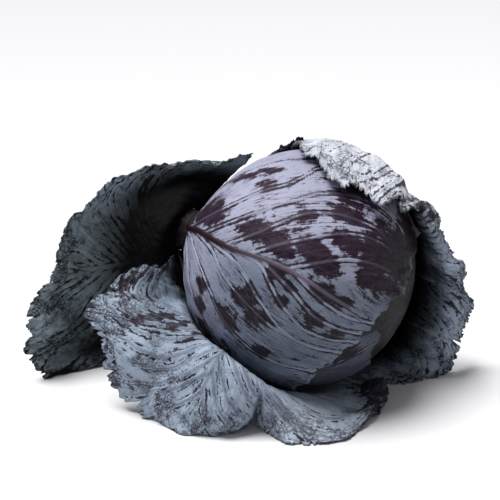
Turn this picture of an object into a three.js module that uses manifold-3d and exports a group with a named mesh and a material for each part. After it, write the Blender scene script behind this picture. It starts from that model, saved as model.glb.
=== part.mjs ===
// Head of red cabbage lying on its side in its own open wrapper leaves.
// Millimetres, Z up. The cut stalk points left and away, the leaves open toward -Y.
import * as THREE from 'three';
import Module from 'manifold-3d';

const wasm = await Module();
wasm.setup();

// Overall sizes
const HEAD_DIAMETER = 176; // across the head, square to the stalk
const WRAPPER_REACH = 208; // level distance from the head's middle to the farthest leaf tip
const HEAD_CLEARANCE = 6; // from the table to the lowest point of the head

// Head
const HEAD_FLATTENING = 0.97; // length along the stalk over the width
const SHOULDER_RISE = 8.5; // how far the head draws out toward the stalk
const SHOULDER_SPREAD = 20; // degrees from the stalk over which it draws out
const HEAD_SIDES = 30;
const HEAD_BANDS = 15;

// Stalk
const STALK_TURN = 155; // degrees from +X toward +Y
const STALK_RISE = 10; // degrees above level
const STALK_DIAMETER = 33;
const STALK_LENGTH = 11; // past the drawn-out shoulder of the head
const STALK_ROOT = 0.4; // head radii from the middle of the head to the inner end of the stalk
const STALK_SIDES = 20;
const STALK_FLARE = 1.5;
const STALK_TAPER = 0.8; // its inner end over its full radius
const STALK_CORE = 0.001; // radius of the rings that close its two ends

// Leaves
const LEAF_THICKNESS = 1.6;
const LEAF_BASE_THICKNESS = 3.4; // where a wrapper leaf leaves the stalk
const HEAD_LEAF_THICKNESS = 1.4;
const HEAD_LEAF_START = 13; // degrees from the stalk
const MIDRIB_HEIGHT = 2.2;
const MIDRIB_WIDTH = 7;
const MIDRIB_NARROWING = 0.75; // share of the width lost toward the leaf's margin
const MIDRIB_SINKING = 0.8; // share of the height lost toward the margin
const MIDRIB_BITE = 0.8; // share of the leaf thickness the rib reaches down into
const MIDRIB_LINES = 13;
const MIDRIB_STEPS = 5;
const RUFFLE_HEIGHT = 2.6; // wave of the leaf margins
const RUFFLE_START = 0.55; // share of the way out where the waves begin
const LEAF_SHEATH = 5; // from the shoulder of the head to the leaf bases, along the stalk
const BASE_SHARE = 0.25; // share of the way out over which the leaf base thins
const HEAD_EASE = 1.2; // how gently a leaf eases off the head
const TABLE_EASE = 0.5; // how gently it eases onto the table
const EASE_LIMIT = 20; // eases above a limit past which nothing changes
const OPEN_FROM = 1; // head radii from the middle where a leaf starts to follow the reach
const OPEN_TO = 1.5; // head radii where it follows it in full
const TABLE_BITE = 0.3; // share of the leaf thickness above the table at its middle
const GAP = 0.3; // air between any two pieces

// Space that shapes are cut with
const CUTTER_NEAR = 0.7; // head radii
const CUTTER_FAR = 1.3;
const CUTTER_ROWS = 5;
const TABLE_WIDTH = 8; // head radii

// Colours
const STALK_COLOUR = 0xb9b48f;
const HEAD_COLOUR = 0x4a3f55;
const OUTER_COLOUR = 0x8b8ca3;
const SECOND_COLOUR = 0x51566a;
const STALK_ROUGHNESS = 0.7;
const HEAD_ROUGHNESS = 0.5;
const WRAPPER_ROUGHNESS = 0.6;

const RADIUS = HEAD_DIAMETER / 2;
const HEAD_HEIGHT = RADIUS + HEAD_CLEARANCE;
const DEGREE = Math.PI / 180;

// Directions: the stalk, and two square to it that measure the way round it.
const STALK_WAY = new THREE.Vector3(
  Math.cos(STALK_RISE * DEGREE) * Math.cos(STALK_TURN * DEGREE),
  Math.cos(STALK_RISE * DEGREE) * Math.sin(STALK_TURN * DEGREE),
  Math.sin(STALK_RISE * DEGREE),
);
const FRONT_WAY = new THREE.Vector3(0, -1, 0).projectOnPlane(STALK_WAY).normalize();
const TOP_WAY = new THREE.Vector3().crossVectors(STALK_WAY, FRONT_WAY);

// Leaf outlines as ribs running outward from the stalk. Points are in head radii from the
// middle of the head; "from" and "to" are degrees round the stalk, 0 on top, 90 in front.
const LEFT_LEAF = {
  name: 'wrapper_leaf_left',
  colour: 0x3b414e,
  from: -35,
  to: 119,
  waves: 6,
  columns: 28,
  rows: 9,
  ribs: [
    [[-0.80, 0.64, 0.42], [-0.62, 0.74, 0.62], [-0.46, 0.70, 0.78], [-0.38, 0.58, 0.88]],
    [[-0.96, 0.52, 0.48], [-0.94, 0.68, 0.64], [-0.88, 0.68, 0.72], [-0.82, 0.56, 0.78]],
    [[-1.09, 0.32, 0.40], [-1.22, 0.60, 0.55], [-1.30, 0.64, 0.68], [-1.36, 0.52, 0.74]],
    [[-1.20, 0.23, 0.29], [-1.44, 0.52, 0.40], [-1.66, 0.58, 0.46], [-1.80, 0.44, 0.50]],
    [[-1.24, 0.20, 0.12], [-1.54, 0.46, 0.12], [-1.88, 0.48, 0.10], [-2.12, 0.26, 0.06]],
    [[-1.22, 0.26, -0.10], [-1.56, 0.46, -0.22], [-1.94, 0.42, -0.32], [-2.28, 0.08, -0.36]],
    [[-1.16, 0.30, -0.28], [-1.48, 0.46, -0.50], [-1.88, 0.40, -0.72], [-2.36, 0.02, -0.74]],
    [[-1.08, 0.38, -0.42], [-1.34, 0.50, -0.72], [-1.68, 0.46, -0.98], [-2.16, 0.18, -1.09]],
    [[-1.00, 0.46, -0.50], [-1.18, 0.56, -0.80], [-1.42, 0.54, -1.00], [-1.76, 0.50, -1.06]],
    [[-0.92, 0.56, -0.52], [-1.02, 0.66, -0.80], [-1.18, 0.66, -0.98], [-1.40, 0.62, -1.06]],
  ],
};

const FRONT_LEAF = {
  name: 'wrapper_leaf_front',
  colour: 0x74808f,
  from: 139,
  to: 215,
  waves: 8,
  columns: 36,
  rows: 13,
  ribs: [
    [[-0.99, 0.20, -0.12], [-1.04, 0.06, -0.04], [-1.08, -0.02, 0.06], [-1.09, -0.04, 0.13]],
    [[-0.99, 0.14, -0.20], [-1.08, -0.08, -0.14], [-1.16, -0.16, -0.04], [-1.22, -0.14, 0.02]],
    [[-0.97, 0.08, -0.28], [-1.06, -0.22, -0.20], [-1.22, -0.34, 0.00], [-1.30, -0.30, 0.14]],
    [[-0.95, 0.02, -0.36], [-1.04, -0.34, -0.22], [-1.36, -0.46, -0.08], [-1.60, -0.36, -0.02]],
    [[-0.92, -0.02, -0.46], [-1.00, -0.44, -0.26], [-1.40, -0.56, -0.24], [-1.80, -0.38, -0.24]],
    [[-0.86, -0.04, -0.56], [-0.94, -0.54, -0.32], [-1.28, -0.68, -0.42], [-1.64, -0.50, -0.50]],
    [[-0.80, -0.06, -0.66], [-0.84, -0.66, -0.38], [-1.16, -0.80, -0.64], [-1.50, -0.56, -0.94]],
    [[-0.72, -0.08, -0.76], [-0.72, -0.80, -0.42], [-0.96, -0.96, -0.74], [-1.22, -0.82, -1.08]],
    [[-0.72, -0.00, -0.80], [-0.62, -0.88, -0.46], [-0.74, -1.04, -0.80], [-0.86, -1.02, -1.09]],
    [[-0.66, 0.04, -0.85], [-0.50, -0.94, -0.52], [-0.52, -1.04, -0.80], [-0.58, -0.98, -1.09]],
    [[-0.60, 0.08, -0.90], [-0.40, -0.94, -0.60], [-0.38, -1.00, -0.80], [-0.44, -0.80, -1.05]],
    [[-0.54, 0.13, -0.93], [-0.30, -0.94, -0.68], [-0.22, -1.08, -0.88], [-0.26, -1.08, -1.09]],
    [[-0.49, 0.18, -0.96], [-0.14, -0.84, -0.80], [-0.02, -1.06, -0.98], [-0.02, -1.20, -1.09]],
    [[-0.44, 0.24, -0.97], [0.06, -0.66, -0.90], [0.22, -0.90, -1.02], [0.30, -1.04, -1.09]],
    [[-0.40, 0.30, -0.97], [0.24, -0.44, -0.98], [0.42, -0.64, -1.04], [0.54, -0.76, -1.08]],
    [[-0.36, 0.36, -0.97], [0.36, -0.24, -1.03], [0.56, -0.34, -1.03], [0.70, -0.40, -1.05]],
    [[-0.32, 0.42, -0.96], [0.40, -0.04, -1.04], [0.58, -0.08, -1.02], [0.70, -0.08, -0.98]],
  ],
};

const RIGHT_LEAF = {
  name: 'wrapper_leaf_right',
  colour: 0x59636f,
  from: 228,
  to: 280,
  waves: 8,
  columns: 36,
  rows: 13,
  ribs: [
    [[-0.55, 0.62, -0.80], [0.05, 0.52, -1.06], [0.50, 0.36, -1.06], [0.70, 0.14, -1.08]],
    [[-0.52, 0.76, -0.68], [0.20, 0.70, -0.98], [0.76, 0.34, -1.02], [0.94, 0.06, -1.08]],
    [[-0.50, 0.90, -0.54], [0.32, 0.88, -0.82], [0.96, 0.22, -0.90], [1.24, 0.16, -1.07]],
    [[-0.48, 1.00, -0.38], [0.40, 1.02, -0.60], [1.12, 0.06, -0.64], [1.42, 0.36, -0.86]],
    [[-0.46, 1.06, -0.20], [0.46, 1.08, -0.34], [1.20, 0.00, -0.34], [1.51, 0.40, -0.60]],
    [[-0.45, 1.08, 0.00], [0.48, 1.08, -0.06], [1.18, -0.04, -0.06], [1.44, 0.42, -0.28]],
    [[-0.44, 1.06, 0.18], [0.48, 1.02, 0.22], [1.10, -0.08, 0.18], [1.30, 0.42, 0.04]],
    [[-0.44, 1.01, 0.36], [0.46, 0.94, 0.46], [1.01, -0.14, 0.40], [1.16, 0.36, 0.30]],
    [[-0.44, 0.97, 0.44], [0.44, 0.88, 0.58], [0.94, -0.08, 0.57], [0.98, 0.10, 0.52]],
    [[-0.44, 0.93, 0.51], [0.38, 0.80, 0.68], [0.84, 0.00, 0.70], [0.78, -0.42, 0.64]],
    [[-0.45, 0.86, 0.62], [0.26, 0.66, 0.86], [0.60, 0.02, 0.94], [0.56, -0.56, 0.78]],
    [[-0.46, 0.78, 0.71], [0.14, 0.58, 0.97], [0.34, 0.02, 1.05], [0.34, -0.56, 0.90]],
    [[-0.48, 0.70, 0.78], [0.00, 0.54, 1.01], [0.12, 0.04, 1.08], [0.10, -0.42, 1.01]],
    [[-0.50, 0.64, 0.82], [-0.16, 0.48, 1.02], [-0.06, 0.12, 1.08], [-0.04, -0.22, 1.07]],
  ],
};

const BACK_LEAF = {
  name: 'wrapper_leaf_back',
  colour: 0x4a4653,
  from: 289,
  to: 320,
  waves: 3,
  columns: 12,
  rows: 9,
  ribs: [
    [[-0.62, 0.86, 0.10], [-0.24, 0.98, 0.34], [0.02, 0.86, 0.60], [0.10, 0.68, 0.78]],
    [[-0.64, 0.78, 0.32], [-0.32, 0.84, 0.54], [-0.08, 0.68, 0.78], [-0.02, 0.46, 0.93]],
    [[-0.66, 0.70, 0.46], [-0.40, 0.70, 0.70], [-0.22, 0.50, 0.90], [-0.16, 0.30, 1.08]],
    [[-0.70, 0.62, 0.54], [-0.48, 0.58, 0.78], [-0.34, 0.46, 0.92], [-0.28, 0.30, 1.05]],
  ],
};

// Laid in this order; a later leaf gives way to the ones before it.
const WRAPPER_LEAVES = [BACK_LEAF, FRONT_LEAF, RIGHT_LEAF, LEFT_LEAF];

// Head leaves: margin as [degrees round the stalk, degrees away from it].
const OUTER_MIDRIB = 72;
const OUTER_MIDRIB_END = 128;
const CLIMB_FROM = 40; // degrees round the stalk where the outer leaf starts to climb
const CLIMB_TO = 50; // where it lies fully over the second leaf
const OUTER_MARGIN = [
  [-98, 92], [-90, 112], [-75, 124], [-60, 137], [-40, 143], [-20, 152], [0, 149], [20, 155],
  [40, 150], [60, 155], [80, 151], [92, 147], [97, 137], [101, 135], [105, 131], [110, 127],
  [115, 124], [119, 119], [125, 116], [134, 112], [142, 110], [151, 105], [160, 98], [166, 84],
];
const SECOND_MARGIN = [
  [62, 159], [80, 156], [95, 158], [110, 153], [125, 155], [140, 149], [155, 150], [170, 142],
  [185, 139], [200, 126], [212, 104],
];

function smoothStep(low, high, value) {
  return THREE.MathUtils.smoothstep(value, low, high);
}

function softFloor(value, limit, softness) {
  // value where it is well above the limit, eased so that it never passes below it
  const over = (value - limit) / softness;
  if (over > EASE_LIMIT) return value;
  return limit + softness * Math.log1p(Math.exp(over));
}

function headRadiusAt(polar) {
  const round = RADIUS * Math.hypot(Math.sin(polar), HEAD_FLATTENING * Math.cos(polar));
  const reach = polar / (SHOULDER_SPREAD * DEGREE);
  return round + SHOULDER_RISE * Math.exp(-reach * reach);
}

function wayFromStalk(turn, polar) {
  const out = TOP_WAY.clone().multiplyScalar(Math.cos(turn));
  out.addScaledVector(FRONT_WAY, Math.sin(turn));
  return out.multiplyScalar(Math.sin(polar)).addScaledVector(STALK_WAY, Math.cos(polar));
}

function headPoint(turnDegrees, polarDegrees, lift) {
  const polar = polarDegrees * DEGREE;
  return wayFromStalk(turnDegrees * DEGREE, polar).multiplyScalar(headRadiusAt(polar) + lift);
}

function solidFrom(points, triangles) {
  const vertProperties = new Float32Array(points.length * 3);
  points.forEach((point, index) => point.toArray(vertProperties, index * 3));
  const triVerts = new Uint32Array(triangles.flat());
  return new wasm.Manifold(new wasm.Mesh({ numProp: 3, vertProperties, triVerts }));
}

function largestPiece(solid) {
  const pieces = solid.decompose();
  return pieces.reduce((best, piece) => (piece.volume() > best.volume() ? piece : best));
}

function meshFrom(solid, name, colour, roughness) {
  const mesh = solid.getMesh();
  const geometry = new THREE.BufferGeometry();
  const corners = new Float32Array(mesh.numVert * 3);
  for (let vertex = 0; vertex < mesh.numVert; vertex += 1) {
    const start = vertex * mesh.numProp;
    corners.set(mesh.vertProperties.subarray(start, start + 3), vertex * 3);
  }
  geometry.setAttribute('position', new THREE.BufferAttribute(corners, 3));
  geometry.setIndex(new THREE.BufferAttribute(new Uint32Array(mesh.triVerts), 1));
  geometry.computeVertexNormals();
  const material = new THREE.MeshStandardMaterial({ color: colour, roughness, metalness: 0 });
  const part = new THREE.Mesh(geometry, material);
  part.name = name;
  return part;
}

function gridNormals(grid) {
  const last = grid.length - 1;
  const end = grid[0].length - 1;
  return grid.map((line, column) => line.map((point, row) => {
    const across = grid[Math.min(column + 1, last)][row].clone();
    across.sub(grid[Math.max(column - 1, 0)][row]);
    const along = line[Math.min(row + 1, end)].clone().sub(line[Math.max(row - 1, 0)]);
    return across.cross(along).normalize();
  }));
}

function sheetSolid(inner, outer) {
  // closed body between two grids of points of the same size
  const columns = inner.length;
  const rows = inner[0].length;
  const points = [...inner.flat(), ...outer.flat()];
  const lift = columns * rows;
  const at = (column, row) => column * rows + row;
  const triangles = [];
  const face = (a, b, c, d) => triangles.push([a, b, c], [a, c, d]);
  for (let column = 0; column < columns - 1; column += 1) {
    for (let row = 0; row < rows - 1; row += 1) {
      const a = at(column, row);
      const b = at(column + 1, row);
      const c = at(column + 1, row + 1);
      const d = at(column, row + 1);
      face(d, c, b, a);
      face(a + lift, b + lift, c + lift, d + lift);
    }
  }
  for (let column = 0; column < columns - 1; column += 1) {
    const low = at(column, 0);
    const nextLow = at(column + 1, 0);
    const high = at(column, rows - 1);
    const nextHigh = at(column + 1, rows - 1);
    face(low, nextLow, nextLow + lift, low + lift);
    face(nextHigh, high, high + lift, nextHigh + lift);
  }
  for (let row = 0; row < rows - 1; row += 1) {
    const left = at(0, row);
    const right = at(columns - 1, row);
    face(left + 1, left, left + lift, left + 1 + lift);
    face(right, right + 1, right + 1 + lift, right + lift);
  }
  return solidFrom(points, triangles);
}

function headSolid(liftAt) {
  // ball of the head, its surface raised by liftAt(turn, polar) in degrees
  const points = [headPoint(0, 0, liftAt(0, 0))];
  for (let band = 1; band < HEAD_BANDS; band += 1) {
    for (let side = 0; side < HEAD_SIDES; side += 1) {
      const turn = side * 360 / HEAD_SIDES;
      const polar = band * 180 / HEAD_BANDS;
      points.push(headPoint(turn, polar, liftAt(turn, polar)));
    }
  }
  points.push(headPoint(0, 180, liftAt(0, 180)));
  const far = points.length - 1;
  const at = (band, side) => 1 + (band - 1) * HEAD_SIDES + side % HEAD_SIDES;
  const triangles = [];
  for (let side = 0; side < HEAD_SIDES; side += 1) {
    triangles.push([0, at(1, side + 1), at(1, side)]);
    for (let band = 1; band < HEAD_BANDS - 1; band += 1) {
      const a = at(band, side);
      const b = at(band, side + 1);
      const c = at(band + 1, side + 1);
      const d = at(band + 1, side);
      triangles.push([a, b, c], [a, c, d]);
    }
    triangles.push([far, at(HEAD_BANDS - 1, side), at(HEAD_BANDS - 1, side + 1)]);
  }
  return solidFrom(points, triangles);
}

function fanCutter(margin) {
  // wedge of space from the middle outward, bounded by a head leaf's margin
  const rows = CUTTER_ROWS;
  const lineAt = (distance) => margin.map(([turn, polar]) => {
    const line = [];
    for (let row = 0; row < rows; row += 1) {
      const angle = THREE.MathUtils.lerp(HEAD_LEAF_START, polar, row / (rows - 1));
      line.push(wayFromStalk(turn * DEGREE, angle * DEGREE).multiplyScalar(distance));
    }
    return line;
  });
  return sheetSolid(lineAt(CUTTER_NEAR * RADIUS), lineAt(CUTTER_FAR * RADIUS));
}

function overSecondLeaf(turn) {
  // 1 where the outer head leaf lies over the second one, 0 where it lies on the head
  const first = OUTER_MARGIN[0][0];
  const wrapped = THREE.MathUtils.euclideanModulo(turn - first, 360) + first;
  return smoothStep(CLIMB_FROM, CLIMB_TO, wrapped);
}

function outerLeafLift(turn) {
  return GAP + (HEAD_LEAF_THICKNESS + GAP) * overSecondLeaf(turn);
}

function midrib() {
  // rounded rib down the middle of the outer head leaf, thinning toward its margin
  const lines = MIDRIB_LINES;
  const steps = MIDRIB_STEPS;
  const bottom = [];
  const top = [];
  for (let step = 0; step < steps; step += 1) {
    const side = 2 * step / (steps - 1) - 1;
    bottom.push([]);
    top.push([]);
    for (let line = 0; line < lines; line += 1) {
      const share = line / (lines - 1);
      const polar = THREE.MathUtils.lerp(HEAD_LEAF_START, OUTER_MIDRIB_END, share);
      const width = MIDRIB_WIDTH * (1 - MIDRIB_NARROWING * share);
      const turn = OUTER_MIDRIB + side * width / 2 / (RADIUS * Math.sin(polar * DEGREE)) / DEGREE;
      const base = outerLeafLift(turn) + HEAD_LEAF_THICKNESS;
      const height = MIDRIB_HEIGHT * (1 - MIDRIB_SINKING * share) * (1 - side * side);
      bottom[step].push(headPoint(turn, polar, base - MIDRIB_BITE * HEAD_LEAF_THICKNESS));
      top[step].push(headPoint(turn, polar, base + height));
    }
  }
  return sheetSolid(bottom, top);
}

function stalkSolid(growth) {
  const start = RADIUS * STALK_ROOT - growth;
  const end = headRadiusAt(0) + STALK_LENGTH;
  const radius = STALK_DIAMETER / 2 + growth;
  const profile = [
    [STALK_CORE, start],
    [radius * STALK_TAPER, start],
    [radius, headRadiusAt(0)],
    [radius + STALK_FLARE, end - STALK_FLARE + growth],
    [radius, end + growth],
    [STALK_CORE, end + growth],
  ];
  const points = [];
  for (const [out, along] of profile) {
    for (let side = 0; side < STALK_SIDES; side += 1) {
      const turn = side * 2 * Math.PI / STALK_SIDES;
      points.push(wayFromStalk(turn, Math.PI / 2).multiplyScalar(out)
        .addScaledVector(STALK_WAY, along));
    }
  }
  const at = (ring, side) => ring * STALK_SIDES + side % STALK_SIDES;
  const triangles = [];
  for (let side = 0; side < STALK_SIDES; side += 1) {
    for (let ring = 0; ring < profile.length - 1; ring += 1) {
      const a = at(ring, side);
      const b = at(ring, side + 1);
      const c = at(ring + 1, side + 1);
      const d = at(ring + 1, side);
      triangles.push([a, c, b], [a, d, c]);
    }
  }
  const root = points.push(STALK_WAY.clone().multiplyScalar(start)) - 1;
  const tip = points.push(STALK_WAY.clone().multiplyScalar(end + growth)) - 1;
  for (let side = 0; side < STALK_SIDES; side += 1) {
    triangles.push([root, at(0, side), at(0, side + 1)]);
    triangles.push([tip, at(profile.length - 1, side + 1), at(profile.length - 1, side)]);
  }
  return solidFrom(points, triangles);
}

function netPoints(leaf) {
  // every rib with its start on the stalk, in millimetres from the middle of the head
  const sheath = headRadiusAt(0) + LEAF_SHEATH;
  return leaf.ribs.map((rib, index) => {
    const turn = THREE.MathUtils.lerp(leaf.from, leaf.to, index / (leaf.ribs.length - 1));
    const start = wayFromStalk(turn * DEGREE, Math.PI / 2);
    start.multiplyScalar(STALK_DIAMETER / 2 + GAP).addScaledVector(STALK_WAY, sheath);
    return [start, ...rib.map((point) => openOut(new THREE.Vector3(...point)))];
  });
}

function netReach() {
  const points = WRAPPER_LEAVES.flatMap((leaf) => leaf.ribs.flat());
  return Math.max(...points.map(([x, y]) => Math.hypot(x, y)));
}

function openOut(point) {
  // carries the part of a leaf that stands away from the head out to the wanted reach
  const stretch = WRAPPER_REACH / (netReach() * RADIUS);
  const share = smoothStep(OPEN_FROM, OPEN_TO, point.length());
  const factor = 1 + (stretch - 1) * share;
  return point.multiply(new THREE.Vector3(factor, factor, 1)).multiplyScalar(RADIUS);
}

function curveThrough(points, share) {
  return new THREE.CatmullRomCurve3(points, false, 'catmullrom', 0.5).getPoint(share);
}

function clearOfHead(point) {
  const polar = point.angleTo(STALK_WAY);
  const layers = 2 * (HEAD_LEAF_THICKNESS + GAP) + 3 * GAP + LEAF_THICKNESS / 2;
  const distance = softFloor(point.length(), headRadiusAt(polar) + layers, HEAD_EASE);
  return point.setLength(distance);
}

function clearOfTable(point) {
  const lowest = -HEAD_HEIGHT + TABLE_BITE * LEAF_THICKNESS;
  point.z = softFloor(point.z, lowest, TABLE_EASE);
  return point;
}

function leafMiddle(leaf) {
  // grid of points half way through the leaf, margin waves included
  const ribs = netPoints(leaf);
  const grid = [];
  for (let column = 0; column <= leaf.columns; column += 1) {
    const across = column / leaf.columns;
    const stations = ribs[0].map((_, station) => (
      curveThrough(ribs.map((rib) => rib[station]), across)));
    const line = [];
    for (let row = 0; row <= leaf.rows; row += 1) {
      line.push(curveThrough(stations, row / leaf.rows));
    }
    grid.push(line);
  }
  const normals = gridNormals(grid);
  return grid.map((line, column) => line.map((point, row) => {
    const share = row / leaf.rows;
    const wave = Math.sin(2 * Math.PI * leaf.waves * column / leaf.columns);
    const height = RUFFLE_HEIGHT * wave * smoothStep(RUFFLE_START, 1, share);
    const moved = point.clone().addScaledVector(normals[column][row], height);
    return row === 0 ? moved : clearOfTable(clearOfHead(moved));
  }));
}

function leafThickness(share) {
  const base = 1 - smoothStep(0, BASE_SHARE, share);
  return LEAF_THICKNESS + (LEAF_BASE_THICKNESS - LEAF_THICKNESS) * base;
}

function pushedPast(point, neighbour, edgeWay, distance) {
  // point moved away from its neighbour, square to the leaf's edge
  const out = point.clone().sub(neighbour);
  out.addScaledVector(edgeWay, -out.dot(edgeWay) / edgeWay.lengthSq());
  return point.clone().add(out.setLength(distance));
}

function edgeWayAt(line, index) {
  const next = line[Math.min(index + 1, line.length - 1)].clone();
  return next.sub(line[Math.max(index - 1, 0)]);
}

function widened(grid, distance) {
  // the same grid with its margins carried outward
  const last = grid.length - 1;
  const end = grid[0].length - 1;
  const wide = grid.map((line) => [...line]);
  for (const [side, inside] of [[0, 1], [last, last - 1]]) {
    for (let row = 0; row <= end; row += 1) {
      const edgeWay = edgeWayAt(grid[side], row);
      wide[side][row] = pushedPast(grid[side][row], grid[inside][row], edgeWay, distance);
    }
  }
  const rim = wide.map((line) => line[end]);
  wide.forEach((line, column) => {
    line[end] = pushedPast(rim[column], line[end - 1], edgeWayAt(rim, column), distance);
  });
  return wide;
}

function leafSolid(leaf, growth) {
  const middle = leafMiddle(leaf);
  const normals = gridNormals(middle);
  const sheet = growth > 0 ? widened(middle, growth) : middle;
  const offsetGrid = (side) => sheet.map((line, column) => line.map((point, row) => {
    const half = leafThickness(row / leaf.rows) / 2 + growth;
    return point.clone().addScaledVector(normals[column][row], side * half);
  }));
  return sheetSolid(offsetGrid(-1), offsetGrid(1));
}

function belowTable() {
  const size = TABLE_WIDTH * RADIUS;
  const corners = [[-1, -1], [1, -1], [1, 1], [-1, 1]];
  const points = [-1, 1].flatMap((level) => corners.map(([x, y]) => (
    new THREE.Vector3(x * size / 2, y * size / 2, -HEAD_HEIGHT + (level - 1) * size / 2))));
  const sides = [0, 1, 2, 3].flatMap((i) => {
    const next = (i + 1) % 4;
    return [[i, next, next + 4], [i, next + 4, i + 4]];
  });
  return solidFrom(points, [[0, 2, 1], [0, 3, 2], [4, 5, 6], [4, 6, 7], ...sides]);
}

function headLeaf(lift, margin) {
  const outer = headSolid((turn) => lift(turn) + HEAD_LEAF_THICKNESS);
  return outer.subtract(headSolid(lift)).intersect(fanCutter(margin));
}

function buildCabbage() {
  const head = new THREE.Group();
  head.name = 'cabbage';
  const stalk = stalkSolid(0);
  const hole = stalkSolid(GAP);
  const table = belowTable();
  const add = (solid, name, colour, roughness) => (
    head.add(meshFrom(largestPiece(solid), name, colour, roughness)));
  add(stalk, 'cut_stalk', STALK_COLOUR, STALK_ROUGHNESS);
  add(headSolid(() => 0).subtract(hole), 'head_body', HEAD_COLOUR, HEAD_ROUGHNESS);
  const second = headLeaf(() => GAP, SECOND_MARGIN);
  add(second, 'head_leaf_second', SECOND_COLOUR, HEAD_ROUGHNESS);
  const outer = headLeaf(outerLeafLift, OUTER_MARGIN).add(midrib());
  add(outer, 'head_leaf_outer', OUTER_COLOUR, HEAD_ROUGHNESS);
  const clearance = headSolid(() => 2 * (HEAD_LEAF_THICKNESS + GAP) + GAP);
  const laid = [];
  for (const leaf of WRAPPER_LEAVES) {
    let solid = leafSolid(leaf, 0).subtract(hole).subtract(table);
    solid = solid.subtract(clearance);
    for (const neighbour of laid) solid = solid.subtract(neighbour);
    laid.push(leafSolid(leaf, GAP));
    add(solid, leaf.name, leaf.colour, WRAPPER_ROUGHNESS);
  }
  return head;
}

function standOnTable(part) {
  // middle of the whole box over the origin, its underside on z = 0
  const box = new THREE.Box3().setFromObject(part);
  const middle = box.getCenter(new THREE.Vector3());
  part.position.set(-middle.x, -middle.y, -box.min.z);
  const group = new THREE.Group();
  group.name = 'cabbage_on_table';
  group.add(part);
  return group;
}

const cabbage = standOnTable(buildCabbage());

export default cabbage;
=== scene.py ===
import math

import bpy
import numpy as np
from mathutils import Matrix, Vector, kdtree


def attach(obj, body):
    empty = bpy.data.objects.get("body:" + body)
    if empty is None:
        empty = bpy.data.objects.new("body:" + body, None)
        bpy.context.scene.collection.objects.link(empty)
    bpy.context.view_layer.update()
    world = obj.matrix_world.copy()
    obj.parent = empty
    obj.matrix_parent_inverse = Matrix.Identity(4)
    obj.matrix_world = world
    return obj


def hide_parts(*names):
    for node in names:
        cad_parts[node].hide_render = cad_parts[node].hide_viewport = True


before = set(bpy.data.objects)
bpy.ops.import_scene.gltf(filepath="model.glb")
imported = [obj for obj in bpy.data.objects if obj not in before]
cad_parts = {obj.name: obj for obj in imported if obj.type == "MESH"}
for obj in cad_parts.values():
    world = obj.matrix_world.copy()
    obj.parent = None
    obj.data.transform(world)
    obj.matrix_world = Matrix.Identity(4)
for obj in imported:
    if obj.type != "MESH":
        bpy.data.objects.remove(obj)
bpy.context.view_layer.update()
print("cabbage: frame loaded")

head = {
    "middle": (0.03667, 0.00055, 0.0940),  # metres, table at z = 0
    "radius": 0.0868,
    "flattening": 0.945,  # length along the stalk over the width
    "shoulderRise": 0.0085,  # how far it draws out toward the stalk
    "shoulderSpread": 20,  # degrees
    "stalkTurn": 155,  # degrees from +X toward +Y
    "stalkRise": 10,
    "leafStart": 12,  # degrees from the stalk where head leaves begin
    "overlap": (40, 50),  # degrees round, where the outer leaf climbs onto the second
}
degreeSpan = 0.00154  # metres that one degree spans on the head
leafUnit = 0.088  # metres that 1 stands for in the ribs of the wrapper leaves
sheath = 0.0989  # from the middle of the head to the leaf bases, along the stalk
rootRing = 0.0168  # from the stalk's axis to the leaf bases
air = 0.0003
headLeafThick = 0.0014
wrapperThick = 0.0012
outerShade = 0.15  # how much of the inner shade the outer faces keep

turnAngle = math.radians(head["stalkTurn"])
riseAngle = math.radians(head["stalkRise"])
stalkWay = np.array([
    math.cos(riseAngle) * math.cos(turnAngle),
    math.cos(riseAngle) * math.sin(turnAngle),
    math.sin(riseAngle),
])
frontWay = np.array([0.0, -1.0, 0.0])
frontWay = frontWay - frontWay.dot(stalkWay) * stalkWay
frontWay /= np.linalg.norm(frontWay)
topWay = np.cross(stalkWay, frontWay)
middle = np.array(head["middle"])


def smooth(low, high, value):
    share = np.clip((value - low) / (high - low), 0, 1)
    return share * share * (3 - 2 * share)


def unit(vectors):
    return vectors / (np.linalg.norm(vectors, axis=-1, keepdims=True) + 1e-12)


def bell(value, place, width):
    # 1 at place, falling off to both sides
    return np.exp(-(((value - place) / width) ** 2))


def headRadius(polar):
    # distance from the middle of the head to its skin, polar in radians from the stalk
    ball = head["radius"] * np.hypot(np.sin(polar), head["flattening"] * np.cos(polar))
    reach = polar / math.radians(head["shoulderSpread"])
    return ball + head["shoulderRise"] * np.exp(-reach * reach)


def onHead(turn, polar, lift=0.0):
    # point above the head's skin; turn and polar in degrees, measured from its middle
    t = np.radians(turn)[..., None]
    p = np.radians(polar)[..., None]
    way = np.sin(p) * (np.cos(t) * topWay + np.sin(t) * frontWay) + np.cos(p) * stalkWay
    return way * (headRadius(p) + np.asarray(lift)[..., None])


def ripple(points, wavelength, seed, waves=26):
    # smooth random swell over points, about -2 to 2
    rng = np.random.default_rng(seed)
    ways = unit(rng.normal(size=(waves, points.shape[-1])))
    steps = 2 * np.pi / (wavelength * rng.uniform(0.7, 1.4, waves))
    phases = rng.uniform(0, 2 * np.pi, waves)
    total = np.zeros(points.shape[:-1])
    for way, step, phase in zip(ways, steps, phases):
        total += np.cos(points @ way * step + phase)
    return total / math.sqrt(waves / 2)


def alongEdge(place):
    # a margin laid out straight, for ripple
    return np.stack([place, place * 0], axis=-1)


def curveThrough(points, shares):
    # smooth curve through points along their first axis
    spans = len(points) - 1
    place = shares * spans
    start = np.clip(place.astype(int), 0, spans - 1)
    f = (place - start).reshape((-1,) + (1,) * (points.ndim - 1))
    ends = np.concatenate([
        [2 * points[0] - points[1]], points, [2 * points[-1] - points[-2]],
    ])
    a, b, c, d = ends[start], ends[start + 1], ends[start + 2], ends[start + 3]
    bend = (2 * a - 5 * b + 4 * c - d) * f**2 + (3 * b - a - 3 * c + d) * f**3
    return 0.5 * (2 * b + (c - a) * f + bend)


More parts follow.
